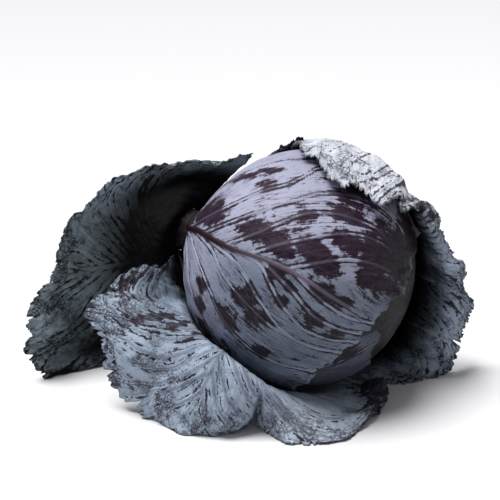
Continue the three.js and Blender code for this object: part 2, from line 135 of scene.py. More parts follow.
def gridNormals(grid):
    across = np.gradient(grid, axis=0)
    along = np.gradient(grid, axis=1)
    return unit(np.cross(across, along))


def easedAbove(value, limit, ease):
    over = np.clip((value - limit) / ease, -40, 40)
    return np.where(over > 30, value, limit + ease * np.log1p(np.exp(over)))


def painted(first, second, spots):
    # soft spots: place, half widths, strength
    total = np.zeros(np.broadcast(first, second).shape)
    for x, y, wide, long, strength in spots:
        reach = ((first - x) / wide) ** 2 + ((second - y) / long) ** 2
        total = np.maximum(total, strength * np.exp(-reach))
    return total


def selectNothing():
    if bpy.context.object and bpy.context.object.mode != "OBJECT":
        bpy.ops.object.mode_set(mode="OBJECT")
    bpy.ops.object.select_all(action="DESELECT")


def leafSheet(name, across, along):
    selectNothing()
    bpy.ops.mesh.primitive_grid_add(
        x_subdivisions=across, y_subdivisions=along, size=2, calc_uvs=True)
    piece = bpy.context.object
    piece.name = name
    return piece


def corners(piece):
    flat = np.zeros(len(piece.data.vertices) * 3)
    piece.data.vertices.foreach_get("co", flat)
    return flat.reshape(-1, 3)


def writeMark(piece, label, values):
    # one named value for each corner, which the materials read
    mark = piece.data.attributes.new(label, "FLOAT", "POINT")
    mark.data.foreach_set("value", values.astype(np.float32))


def gridSize(piece):
    flat = np.round(corners(piece), 4)
    return len(np.unique(flat[:, 0])), len(np.unique(flat[:, 1]))


def layOut(piece, grid, marks, strokes):
    # moves the flat sheet's corners to grid, writes the marks, and lays the UV map so that
    # its second direction runs along the veins
    mesh = piece.data
    flat = corners(piece)
    column = np.rint((flat[:, 0] + 1) / 2 * (grid.shape[0] - 1)).astype(int)
    row = np.rint((flat[:, 1] + 1) / 2 * (grid.shape[1] - 1)).astype(int)
    mesh.vertices.foreach_set("co", (grid[column, row] + middle).ravel())
    for label, values in marks.items():
        writeMark(piece, label, values[column, row])
    loops = np.zeros(len(mesh.loops), int)
    mesh.loops.foreach_get("vertex_index", loops)
    flatMap = strokes[column[loops], row[loops]]
    mesh.uv_layers.active.data.foreach_set("uv", flatMap.ravel().astype(np.float32))
    mesh.update()


def thicken(piece, depth):
    selectNothing()
    bpy.context.view_layer.objects.active = piece
    piece.select_set(True)
    shell = piece.modifiers.new("blade", "SOLIDIFY")
    shell.thickness = depth
    shell.offset = 0
    bpy.ops.object.modifier_apply(modifier=shell.name)
    bpy.ops.object.shade_smooth()
    # only the face turned to the head is deep in shade
    away = np.linalg.norm(corners(piece) - middle, axis=1)
    half = len(away) // 2
    dim = np.zeros(half * 2)
    marked = piece.data.attributes["dim"].data
    marked.foreach_get("value", dim)
    outside = (away[:half] - away[half:]) @ dim[:half] > 0
    shaded = slice(0, half) if outside else slice(half, None)
    dim[shaded] *= outerShade
    marked.foreach_set("value", dim.astype(np.float32))


def sampled(surface, us, vs):
    # points of a grid surface at shares us, vs
    columns, rows = surface.shape[0] - 1, surface.shape[1] - 1
    x = np.clip(us, 0, 1) * columns
    y = np.clip(vs, 0, 1) * rows
    i = np.minimum(x.astype(int), columns - 1)
    j = np.minimum(y.astype(int), rows - 1)
    fx = (x - i)[:, None]
    fy = (y - j)[:, None]
    low = surface[i, j] * (1 - fx) + surface[i + 1, j] * fx
    high = surface[i, j + 1] * (1 - fx) + surface[i + 1, j + 1] * fx
    return low * (1 - fy) + high * fy


def nearVeins(grid, lines):
    # for each point of the grid: distance to the nearest vein, in widths and in metres
    points = np.concatenate([line for line, _ in lines])
    widths = np.concatenate([np.broadcast_to(width, len(line)) for line, width in lines])
    tree = kdtree.KDTree(len(points))
    for index, point in enumerate(points):
        tree.insert(point, index)
    tree.balance()
    near = np.zeros(grid.shape[:2])
    gap = np.zeros(grid.shape[:2])
    for place in np.ndindex(*grid.shape[:2]):
        _, index, distance = tree.find(grid[place])
        near[place] = distance / widths[index]
        gap[place] = distance
    return near, gap


# how the side veins of a wrapper leaf fan out from its midrib, as shares of its length
veinFan = {
    "first": 0.04,  # where the first side vein leaves the midrib
    "length": 0.62,  # how much of the midrib they leave from
    "crowding": 1.1,
    "bend": 0.73,  # under 1 they turn outward first and forward later
    "bends": (0.62, 0.85),
    "points": 160,
    "forkEvery": 0.085,
    "forkLength": (0.10, 0.22),
    "forkSpread": (0.02, 0.05),
    "forkPoints": 60,
    "fewestPoints": 8,
    "ribTaper": 0.8,
    "sideTaper": 0.6,
    "forkTaper": 0.5,
}


def leavesRib(share):
    # where a side vein leaves the midrib, share counting from the first vein to the last
    return veinFan["first"] + veinFan["length"] * share ** veinFan["crowding"]


def ribPlace(rib, v):
    # the midrib starts in the middle of the base and swings to its own side
    return 0.5 + (rib - 0.5) * np.clip(v * 3, 0, 1)


def fanVeins(surface, veins):
    # midrib, side veins that leave it one after another, and the forks between them
    rng = np.random.default_rng(veins["seed"])
    steps = np.linspace(0, 1, veinFan["points"])
    run = np.linspace(0, 1, veinFan["forkPoints"])
    rib = veins["rib"]
    main = [(sampled(surface, ribPlace(rib, steps), steps),
             veins["ribWidth"] * (1 - veinFan["ribTaper"] * steps))]
    forks = []
    for edge in (0, 1):
        for k in range(veins["sides"]):
            share = (k + rng.uniform(0.2, 0.8)) / veins["sides"]
            leave = leavesRib(share)
            end = edge + (rib - edge) * (share**0.9) * 0.93 + rng.uniform(-0.01, 0.01)
            bend = rng.uniform(*veinFan["bends"])
            start = ribPlace(rib, leave)
            v = leave + (1 - leave) * steps
            u = start + (end - start) * steps**bend
            u = u + 0.006 * np.sin(steps * rng.uniform(7, 12) + rng.uniform(0, 6)) * steps
            main.append((sampled(surface, u, v),
                         veins["sideWidth"] * (1 - veinFan["sideTaper"] * steps)))
            shift = rng.uniform(-0.02, 0.02, 10)[0]
            for place in np.arange(0.18, 0.95, veinFan["forkEvery"]) + shift:
                for way in (-1, 1):
                    at = int(place * (veinFan["points"] - 1))
                    length = rng.uniform(*veinFan["forkLength"])
                    spread = rng.uniform(*veinFan["forkSpread"]) * way
                    forkU = u[at] + spread * run + (end - u[at]) * 0.25 * run
                    forkV = v[at] + length * run**1.1
                    inside = forkV < 1
                    if inside.sum() > veinFan["fewestPoints"]:
                        forks.append((
                            sampled(surface, forkU[inside], forkV[inside]),
                            veins["forkWidth"] * (1 - veinFan["forkTaper"] * run[inside])))
    return main, forks


def fanReach(v, leave):
    # how far from the midrib a side vein has come, as a share of the leaf's width
    return np.clip((v - leave) / (1 - leave), 0, 1) ** veinFan["bend"]


def veinFlow(u, v, rib):
    # which side vein a place belongs to, and how far out it lies along it
    aside = np.abs(u - rib)
    low = np.zeros_like(u)
    high = np.ones_like(u)
    for _ in range(18):
        share = (low + high) / 2
        reach = 0.5 * (1 - share) * fanReach(v, leavesRib(share))
        low = np.where(reach > aside, share, low)
        high = np.where(reach > aside, high, share)
    outside = np.maximum(aside - 0.5 * fanReach(v, veinFan["first"]), 0)
    share = (low + high) / 2 - 2 * outside
    return np.stack([(1.5 - share) * np.sign(u - rib + 1e-6), v], axis=-1)


# how far the wrapper leaves keep off the head and the table, and how softly, in metres
clear = {"head": 0.0060, "headEase": 0.0012, "table": 0.0008, "tableEase": 0.0005}


def clearOfAll(grid):
    away = np.linalg.norm(grid, axis=-1)
    polar = np.arccos(np.clip((grid @ stalkWay) / away, -1, 1))
    wanted = easedAbove(away, headRadius(polar) + clear["head"], clear["headEase"])
    grid = grid * (wanted / away)[..., None]
    grid[..., 2] = easedAbove(grid[..., 2], clear["table"] - middle[2], clear["tableEase"])
    return grid


def wrapperMiddle(leaf, us, vs):
    # the leaf as a smooth sheet: ribs of points in head radii, joined at the stalk
    count = len(leaf["ribs"])
    turns = np.radians(np.linspace(leaf["from"], leaf["to"], count))[:, None]
    ringWay = np.cos(turns) * topWay + np.sin(turns) * frontWay
    starts = ringWay * rootRing + stalkWay * sheath
    ribs = np.array(leaf["ribs"], float) * leafUnit
    net = np.concatenate([starts[:, None], ribs], axis=1)
    lines = curveThrough(net, us)
    return np.swapaxes(curveThrough(np.swapaxes(lines, 0, 1), vs), 0, 1)


def cutSheet(leaf, us, vs, edgeLine):
    # the sheet, drawn back from the margin where teeth, lobes and notches fall
    notch = ripple(edgeLine, leaf["toothWave"], leaf["seed"] + 1) ** 2 * 0.6
    notch += ripple(edgeLine, leaf["toothWave"] * 0.45, leaf["seed"] + 9) ** 2 * 0.3
    scallop = ripple(edgeLine, leaf["lobeWave"], leaf["seed"] + 2)
    cut = leaf["tooth"] * notch + leaf["lobe"] * (scallop + 1.5)
    for place, width, depth in leaf["notches"]:
        cut = cut + depth * bell(us, place, width)
    last = len(vs) - 1
    base = wrapperMiddle(leaf, us, np.linspace(0, leaf["reach"], len(vs)))
    grid = np.zeros_like(base)
    for column in range(len(us)):
        place = vs * (1 - np.clip(cut[column], 0, 0.5) * vs**2) * last
        low = np.minimum(place.astype(int), last - 1)
        f = (place - low)[:, None]
        grid[column] = base[column, low] * (1 - f) + base[column, low + 1] * f
    return grid


def toFreeEdge(grid, v):
    # metres to the margin or to a side; near the stalk the sides don't count
    span = np.linalg.norm(np.diff(grid, axis=1), axis=-1).cumsum(axis=1)
    toMargin = np.concatenate([span[:, -1:], span[:, -1:] - span], axis=1)
    around = np.linalg.norm(np.diff(grid, axis=0), axis=-1).cumsum(axis=0)
    fromLeft = np.concatenate([np.zeros((1, grid.shape[1])), around], axis=0)
    toSide = np.minimum(fromLeft, fromLeft[-1:] - fromLeft)
    return np.minimum(toMargin, np.where(v > 0.25, toSide, 1.0))


def wrapperLeaf(name, leaf):
    piece = leafSheet(name, leaf["across"], leaf["along"])
    columns, rows = gridSize(piece)
    us = np.linspace(0, 1, columns)
    vs = 1 - (1 - np.linspace(0, 1, rows)) ** leaf["marginRows"]
    u = us[:, None] * np.ones((1, rows))
    v = vs[None, :] * np.ones((columns, 1))
    edgeLine = alongEdge(us * 10)
    grid = cutSheet(leaf, us, vs, edgeLine)
    outer = toFreeEdge(grid, v)
    seed = leaf["seed"]

    # broad ruffles, then crumples that get finer and deeper toward the margin
    pleat = np.zeros_like(v)
    for place, width, depth in leaf["pleats"]:
        pleat -= depth * bell(u, place, width) * smooth(0.45, 0.8, v)
    normals = gridNormals(grid)
    sway = 1.6 * ripple(edgeLine, 2.5, seed + 3)[:, None]
    wave = np.sin(2 * np.pi * leaf["waves"] * u + sway)
    near = smooth(leaf["ruffleFrom"], 1, v)
    swell = leaf["ruffle"] * wave * near**1.3 + leaf["veinSide"] * pleat
    swell += leaf["crumple"] * ripple(grid, leaf["crumpleWave"], seed + 4) * (0.3 + 0.7 * near)
    fine = 1 - np.abs(ripple(grid, leaf["creaseWave"], seed + 5))
    swell += leaf["crease"] * fine * (0.35 + 0.65 * np.exp(-outer / leaf["creaseReach"]))
    grid = grid + normals * swell[..., None]
    grid[..., 2] += painted(u, v, leaf["raised"])
    grid = clearOfAll(grid)
    frill = ripple(grid, leaf["frillWave"], seed + 6) * np.exp(-outer / leaf["frillReach"])
    normals = gridNormals(grid)
    grid = grid + normals * (leaf["frill"] * frill)[..., None]

    # veins stand up from one face, and the blade puffs between them
    main, forks = fanVeins(grid, leaf["veins"])
    nearMain, gapMain = nearVeins(grid, main)
    nearFork, gapFork = nearVeins(grid, main[1:] + forks)
    vein = bell(nearMain, 0, 1)
    fork = bell(nearFork, 0, 1)
    ridge = vein * leaf["veins"]["rise"] + fork * leaf["veins"]["rise"] * 0.45
    puff = leaf["puff"] * (1 - np.exp(-gapFork / 0.004)) * smooth(0.05, 0.3, v)
    grid = grid + normals * (leaf["veinSide"] * (ridge + puff))[..., None]
    grid = clearOfAll(grid)
    # painted light: spots painted lighter where light falls, on the right leaf's flap, the front leaf's
    # right lobe and the left leaf's lower strip; dim is painted shade
    paintedLight = painted(u, v, leaf["paintedLight"])
    marks = {
        "vein": vein,
        "fork": fork,
        # painted shade beside the main veins
        "grooveShade": bell(gapMain, 0.0026, 0.0009),
        "rim": np.exp(-outer / 0.0025),
        "out": v,
        "bareAndShade": painted(u, v, leaf["wearAndShade"]),
        "tintAndLight": paintedLight,
        "dim": np.maximum((1 - smooth(*leaf["shade"], v)) * (1 - paintedLight),
                          painted(u, v, leaf["shaded"])),
    }
    layOut(piece, grid, marks, veinFlow(u, v, leaf["veins"]["rib"]))
    thicken(piece, wrapperThick)
    return piece


# swells, curl and crimp of the head leaves: wavelengths, heights and reaches in metres
headSkin = {
    "broadWave": 0.075,
    "broadRise": 0.0006,
    "fineWave": 0.020,
    "fineRise": 0.00025,
    "deepest": -0.0002,
    "curlWave": 0.013,
    "curlRise": 0.0012,
    "curlVary": 0.0011,
    "curlReach": 0.006,
    "crimpWave": 0.006,
    "crimpRise": 0.0005,
    "crimpReach": 0.010,
    "crimpDeepest": -0.0003,
    "veinPoints": 320,
    "forkPoints": 70,
    "forkWidth": 0.0006,
}


def leafLift(leaf, turn):
    # outer face of a head leaf above the skin; it steps up where it lies on the other leaf
    return air + leaf["step"] * smooth(*head["overlap"], turn) + headLeafThick


def headMargin(leaf, columns):
    # degrees round for each line of corners, and how far from the stalk it ends
    listed = np.array(leaf["margin"], float)
    first, last = leaf["margin"][0][0], leaf["margin"][-1][0]
    # lines stand closer together where the veins are finest
    even = np.linspace(first, last, 200)
    spread = np.interp(even, [first, leaf["fineFrom"], last], [2.2, 1, 1])
    steps = np.concatenate([[0], np.cumsum(1 / spread[1:])])
    turns = np.interp(np.linspace(0, steps[-1], columns), steps, even)
    polar = np.interp(turns, listed[:, 0], listed[:, 1])
    rim = onHead(turns, polar)
    edge = np.concatenate([[0], np.linalg.norm(np.diff(rim, axis=0), axis=1).cumsum()])
    polar = polar + leaf["lobe"] * ripple(alongEdge(edge), 0.030, leaf["seed"])
    polar = polar - leaf["tooth"] * np.abs(ripple(alongEdge(edge), 0.010, leaf["seed"] + 1))
    return turns, polar


def headVeins(leaf):
    # the listed veins, and forks that leave them on both sides
    main = []
    forks = []
    rng = np.random.default_rng(leaf["seed"] + 7)
    last = headSkin["veinPoints"] - 1
    run = np.linspace(0, 1, headSkin["forkPoints"])
    for line, thick, thin in leaf["veins"]:
        path = curveThrough(np.array(line, float), np.linspace(0, 1, last + 1))
        main.append((onHead(path[:, 0], path[:, 1], leafLift(leaf, path[:, 0])),
                     np.linspace(thick, thin, last + 1)))
        for place in np.arange(0.25, 0.97, 0.10):
            index = int(place * last)
            ahead = path[min(index + 8, last)] - path[index - 8]
            ahead = ahead / (np.hypot(*ahead) + 1e-9)
            for way in (-1, 1):
                bent = way * rng.uniform(0.4, 0.8) * (1 - 0.5 * run)
                reach = rng.uniform(8, 20) / headSkin["forkPoints"]
                turnStep = ahead[0] * np.cos(bent) - ahead[1] * np.sin(bent)
                polarStep = ahead[0] * np.sin(bent) + ahead[1] * np.cos(bent)
                forkTurn = path[index, 0] + np.cumsum(turnStep) * reach
                forkPolar = path[index, 1] + np.cumsum(polarStep) * reach
                forks.append((onHead(forkTurn, forkPolar, leafLift(leaf, forkTurn)),
                              headSkin["forkWidth"] * (1 - 0.6 * run)))
    return main, forks


def headLeaf(name, leaf):
    piece = leafSheet(name, leaf["across"], leaf["along"])
    columns, rows = gridSize(piece)
    turns, polar = headMargin(leaf, columns)
    shares = np.linspace(0, 1, rows)
    turn = turns[:, None] + 0 * shares[None, :]
    away = head["leafStart"] + (polar[:, None] - head["leafStart"]) * shares[None, :]
    lift = leafLift(leaf, turn)
    flat = onHead(turn, away, lift)
    toMargin = (polar[:, None] - away) * degreeSpan
    toSide = np.minimum(turn - turns[0], turns[-1] - turn) * degreeSpan * np.sin(np.radians(away))
    toMargin = np.minimum(toMargin, toSide)
    seed = leaf["seed"]

    swell = ripple(flat, headSkin["broadWave"], seed + 2) * headSkin["broadRise"]
    swell += ripple(flat, headSkin["fineWave"], seed + 3) * headSkin["fineRise"]
    height = np.maximum(swell * leaf["swell"], headSkin["deepest"])
    lipRise = headSkin["curlRise"] + headSkin["curlVary"] * ripple(flat, headSkin["curlWave"], seed + 4)
    curl = np.maximum(np.exp(-toMargin / headSkin["curlReach"]) * lipRise, 0) * leaf["curl"]
    crimp = np.exp(-toMargin / headSkin["crimpReach"]) * headSkin["crimpRise"]
    crimp = crimp * ripple(flat, headSkin["crimpWave"], seed + 5)
    height += curl + np.maximum(crimp, headSkin["crimpDeepest"]) * leaf["curl"]

    main, forks = headVeins(leaf)
    nearMain, gapMain = nearVeins(flat, main)
    nearFork, _ = nearVeins(flat, main + forks)
    vein = bell(nearMain, 0, 1)
    fork = bell(nearFork, 0, 1)
    height += vein * leaf["rise"] + fork * leaf["rise"] * 0.35
    height -= bell(gapMain, 0.0020, 0.0010) * leaf["rise"] * 0.35
    rib = np.zeros(flat.shape[:2])
    if "midrib" in leaf:
        nearRib, _ = nearVeins(flat, main[:1])
        rib = np.exp(-(nearRib**2) * 0.8)
        height += rib * leaf["midrib"] * (1 - 0.8 * shares[None, :])
    grid = onHead(turn, away, lift + height)
    # the outermost corners turn down to the layer below, which closes the margin
    tuck = np.maximum(lift - headLeafThick, 0.0001)
    for edge in ((slice(None), -1), (0, slice(None)), (-1, slice(None))):
        grid[edge] = onHead(turn[edge], away[edge], tuck[edge] + curl[edge] * 0.7)

    side = np.where(turn > leaf["ribTurn"], 1.0, -1.0)
    slant = turn - leaf["ribTurn"] - side * 0.6 * away
    strokes = np.stack([slant / 100 + side * 4, away / 100], axis=-1)
    marks = {
        "vein": vein,
        "fork": fork,
        "rim": np.exp(-toMargin / 0.0016),
        "rib": rib,
        # painted shade beside the main veins
        "grooveShade": bell(gapMain, 0.0017, 0.0006),
        "bareAndShade": painted(turn, away, leaf["wearAndShade"]),
        # lilac tint over the upper head and near the stalk, painted lighter there as painted light
        "tintAndLight": np.maximum(leaf["upperTintLight"] * (1 - smooth(56, 84, turn)),
                           leaf["nearTintLight"] * (1 - smooth(45, 85, away))),
        "dim": painted(turn, away, leaf["shaded"]),
        "out": shares[None, :] + 0 * turn,
    }
    layOut(piece, grid, marks, strokes)
    bpy.ops.object.shade_smooth()
    return piece


class Signal:
    # a socket that can be used in sums

    def __init__(self, finish, socket):
        self.finish = finish
        self.socket = socket

    def sum(self, operation, *values, clamp=False):
        return self.finish.node("ShaderNodeMath", {"operation": operation, "use_clamp": clamp},
                                dict(enumerate(values)))

    def __add__(self, other):
        return self.sum("ADD", self, other)

    __radd__ = __add__

    def __sub__(self, other):
        return self.sum("SUBTRACT", self, other)

    def __rsub__(self, other):
        return self.sum("SUBTRACT", other, self)

    def __mul__(self, other):
        return self.sum("MULTIPLY", self, other)

    __rmul__ = __mul__

    def away(self):
        return self.sum("ABSOLUTE", self)

    def held(self):
        # kept between 0 and 1
        return self.sum("ADD", self, 0.0, clamp=True)

    def between(self, low, high):
        # 0 below low, 1 above high, eased between
        return self.finish.node(
            "ShaderNodeMapRange", {"interpolation_type": "SMOOTHSTEP", "clamp": True},
            {"Value": self, "From Min": low, "From Max": high})


class Finish:
    # one material and the few ways its nodes are added

    def __init__(self, name):
        self.material = bpy.data.materials.new(name)
        self.material.use_nodes = True
        self.tree = self.material.node_tree
        self.skin = self.tree.nodes["Principled BSDF"]

    def node(self, kind, settings=None, values=None, output=0):
        made = self.tree.nodes.new(kind)
        for key, value in (settings or {}).items():
            setattr(made, key, value)
        for key, value in (values or {}).items():
            self.feed(made.inputs[key], value)
        return Signal(self, made.outputs[output])

    def feed(self, socket, value):
        if isinstance(value, Signal):
            self.tree.links.new(value.socket, socket)
        else:
            socket.default_value = value

    def give(self, values):
        # the shader's own sockets by name
        for name, value in values.items():
            self.feed(self.skin.inputs[name], value)

    def mark(self, name):
        return self.node("ShaderNodeAttribute", {"attribute_name": name}, output="Fac")

    def onPiece(self):
        return self.node("ShaderNodeTexCoord", output="Object")

    def onSheet(self, across, along):
        flat = self.node("ShaderNodeTexCoord", output="UV")
        return self.node("ShaderNodeMapping", {}, {"Vector": flat, "Scale": (across, along, 1)})

    def cloud(self, place, scale, detail=4.0, rough=0.55, bend=0.0):
        return self.node("ShaderNodeTexNoise", {}, {
            "Vector": place, "Scale": scale, "Detail": detail, "Roughness": rough,
            "Distortion": bend})

    def cells(self, place, scale):
        # distance to the nearest wall of a net of random cells
        return self.node("ShaderNodeTexVoronoi", {"feature": "DISTANCE_TO_EDGE"}, {
            "Vector": place, "Scale": scale})

    def pushed(self, place, scale, amount):
        # place moved about by noise, so that lines drawn on it waver
        drift = self.node("ShaderNodeTexNoise", {}, {
            "Vector": place, "Scale": scale, "Detail": 3.0}, output="Color")
        shift = self.node("ShaderNodeVectorMath", {"operation": "SUBTRACT"},
                          {0: drift, 1: (0.5, 0.5, 0.5)})
        sized = self.node("ShaderNodeVectorMath", {"operation": "SCALE"},
                          {0: shift, "Scale": amount})
        return self.node("ShaderNodeVectorMath", {"operation": "ADD"}, {0: place, 1: sized})

    def mix(self, share, first, second):
        return self.node("ShaderNodeMix", {"data_type": "RGBA", "clamp_factor": True},
                         {0: share, 6: first, 7: second}, output=2)

    def bump(self, height, distance, strength, under=None):
        values = {"Height": height, "Distance": distance, "Strength": strength}
        if under:
            values["Normal"] = under
        return self.node("ShaderNodeBump", {}, values)


def paint(red, green, blue):
    # colour as picked in a paint program, 0 to 255, made linear
    parts = np.array([red, green, blue]) / 255
    linear = np.where(parts <= 0.04045, parts / 12.92, ((parts + 0.055) / 1.055) ** 2.4)
    return (*[float(part) for part in linear], 1.0)


def leafFinish(name, look):
    # waxy bloom over a dark leaf, rubbed off in streaks, with fine veins
    finish = Finish(name)
    place = finish.onPiece()
    rim = finish.mark("rim")
    out = finish.mark("out")
    tintAndLight = finish.mark("tintAndLight")

    # broad and fine wear, drawn out along the veins
    blotch = finish.cloud(place, look["blotchScale"], 5.0, 0.62, 0.5)
    mottle = finish.cloud(place, look["mottleScale"], 6.0, 0.66, 0.3)
    grain = finish.cloud(place, look["grainScale"], 4.0, 0.6)
    across, along = look["stretch"]
    strokePlace = finish.pushed(finish.onSheet(across, along), 0.7, 0.6)
    stroke = finish.cloud(strokePlace, 1.0, 7.0, 0.70)
    hairPlace = finish.pushed(finish.onSheet(across * 1.1, along * 0.9), 0.8, 0.9)
    hair = finish.cloud(hairPlace, 1.0, 3.0, 0.5)
    scratch = 1 - (hair - 0.5).away().between(0.0, look["scratchWidth"])
    scratch = scratch * finish.cloud(place, look["gapScale"], 2.0).between(0.40, 0.58)
    net = finish.cells(finish.pushed(place, 120, 0.005), look["netScale"])
    netLine = (1 - net.between(0.02, 0.12)) * look["netDepth"]
    cracks = finish.cells(finish.pushed(place, 240, 0.006), look["crackleScale"])
    crackle = (1 - cracks.between(0.03, 0.20)) * out.between(0.45, 0.95)
    crackle = crackle * finish.cloud(place, look["gapScale"], 3.0).between(0.45, 0.56)

    wear = (blotch - 0.5) * look["blotchDepth"] + (mottle - 0.5) * look["mottleDepth"]
    wear = wear + (stroke - 0.5) * look["strokeDepth"] + (grain - 0.5) * 0.25
    # more bloom on the spots of tint and painted light
    cover = look["cover"] + wear + tintAndLight * look["tintLightCover"]
    # bare spots: rubbed bloom, and some painted shade
    cover = cover - finish.mark("bareAndShade") * look["bareAndShadeDepth"] - rim * look["rimBare"]
    # painted shade: bloom taken off in the grooves beside the veins, where their shadow falls
    cover = cover - finish.mark("grooveShade") * look["grooveShadeDepth"]
    # painted shade: bloom taken off toward the leaf base, deep in shade by the head
    cover = cover - (1 - out.between(look["baseShadeFrom"], look["baseShadeTo"])) * look["baseShadeDepth"]
    bloom = cover.between(0.44, 0.54)
    bloom = bloom * (1 - (scratch * look["scratchDepth"]).held())
    bloom = bloom * (1 - (crackle * look["crackleDepth"]).held())

    # the leaf's own colour and its tint and painted light, then the wax, then net, veins, midrib, rim and
    # painted shade
    shift = finish.cloud(place, 30, 3.0)
    deep = finish.mix(shift.between(0.35, 0.65), look["deep"], look["deepOther"])
    # tint and painted light: lilac, lighter colours on the upper head and lighter colours on the lit spots
    deep = finish.mix(tintAndLight, deep, look["deepTintLit"])
    wax = finish.mix(shift.between(0.3, 0.7), look["wax"], look["waxOther"])
    wax = finish.mix(tintAndLight, wax, look["waxTintLit"])
    chalk = stroke.between(0.5, 0.75) * 0.5 + grain.between(0.4, 0.8) * 0.25
    wax = finish.mix(chalk.held(), wax, look["waxPale"])
    thin = mottle.between(0.40, 0.70) * 0.6 + stroke.between(0.42, 0.66) * 0.7
    thin = (thin * look["haze"]).held()
    share = thin + bloom * (1 - thin)
    colour = finish.mix(share * look["waxDepth"], deep, wax)
    colour = finish.mix(netLine, colour, look["netColour"])
    veinColour = finish.mix(bloom, look["veinBare"], look["veinWax"])
    lines = finish.mark("fork") * look["forkShow"] + finish.mark("vein") * look["veinShow"]
    colour = finish.mix(lines.held(), colour, veinColour)
    if "ribColour" in look:
        ribColour = finish.mix(out.between(0.33, 0.62), look["ribColour"], look["ribFar"])
        ribShare = (finish.mark("rib") * 1.4).held() * (1 - out.between(0.45, 1.0) * 0.5)
        ribShare = ribShare * (1.1 + (stroke - 0.5) * 0.4)
        colour = finish.mix(ribShare.held(), colour, ribColour)
    colour = finish.mix(rim.between(0.5, 0.95) * look["rimDark"], colour, look["rimColour"])
    colour = finish.mix(finish.mark("dim") * look["dimDepth"], colour, look["dimColour"])

    waxed = look["roughBare"] + bloom * (look["roughWax"] - look["roughBare"])
    soft = finish.bump(mottle, 0.0010, 0.5)
    raised = finish.bump(net.between(0.0, 0.3), look["netRise"], 0.6, soft)
    drawn = finish.bump(stroke, 0.0005, 0.5, raised)
    finish.give({
        "Base Color": colour,
        "Roughness": (waxed + (grain - 0.5) * 0.14).held(),
        "Specular IOR Level": look["shine"],
        "Normal": finish.bump(grain * 0.5 + bloom * 0.5, 0.00014, 0.5, drawn),
    })
    return finish.material


def dress(piece, material, slotName, *nodes):
    piece.data.materials.clear()
    piece.data.materials.append(material)
    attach(piece, "root")
    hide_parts(*nodes)


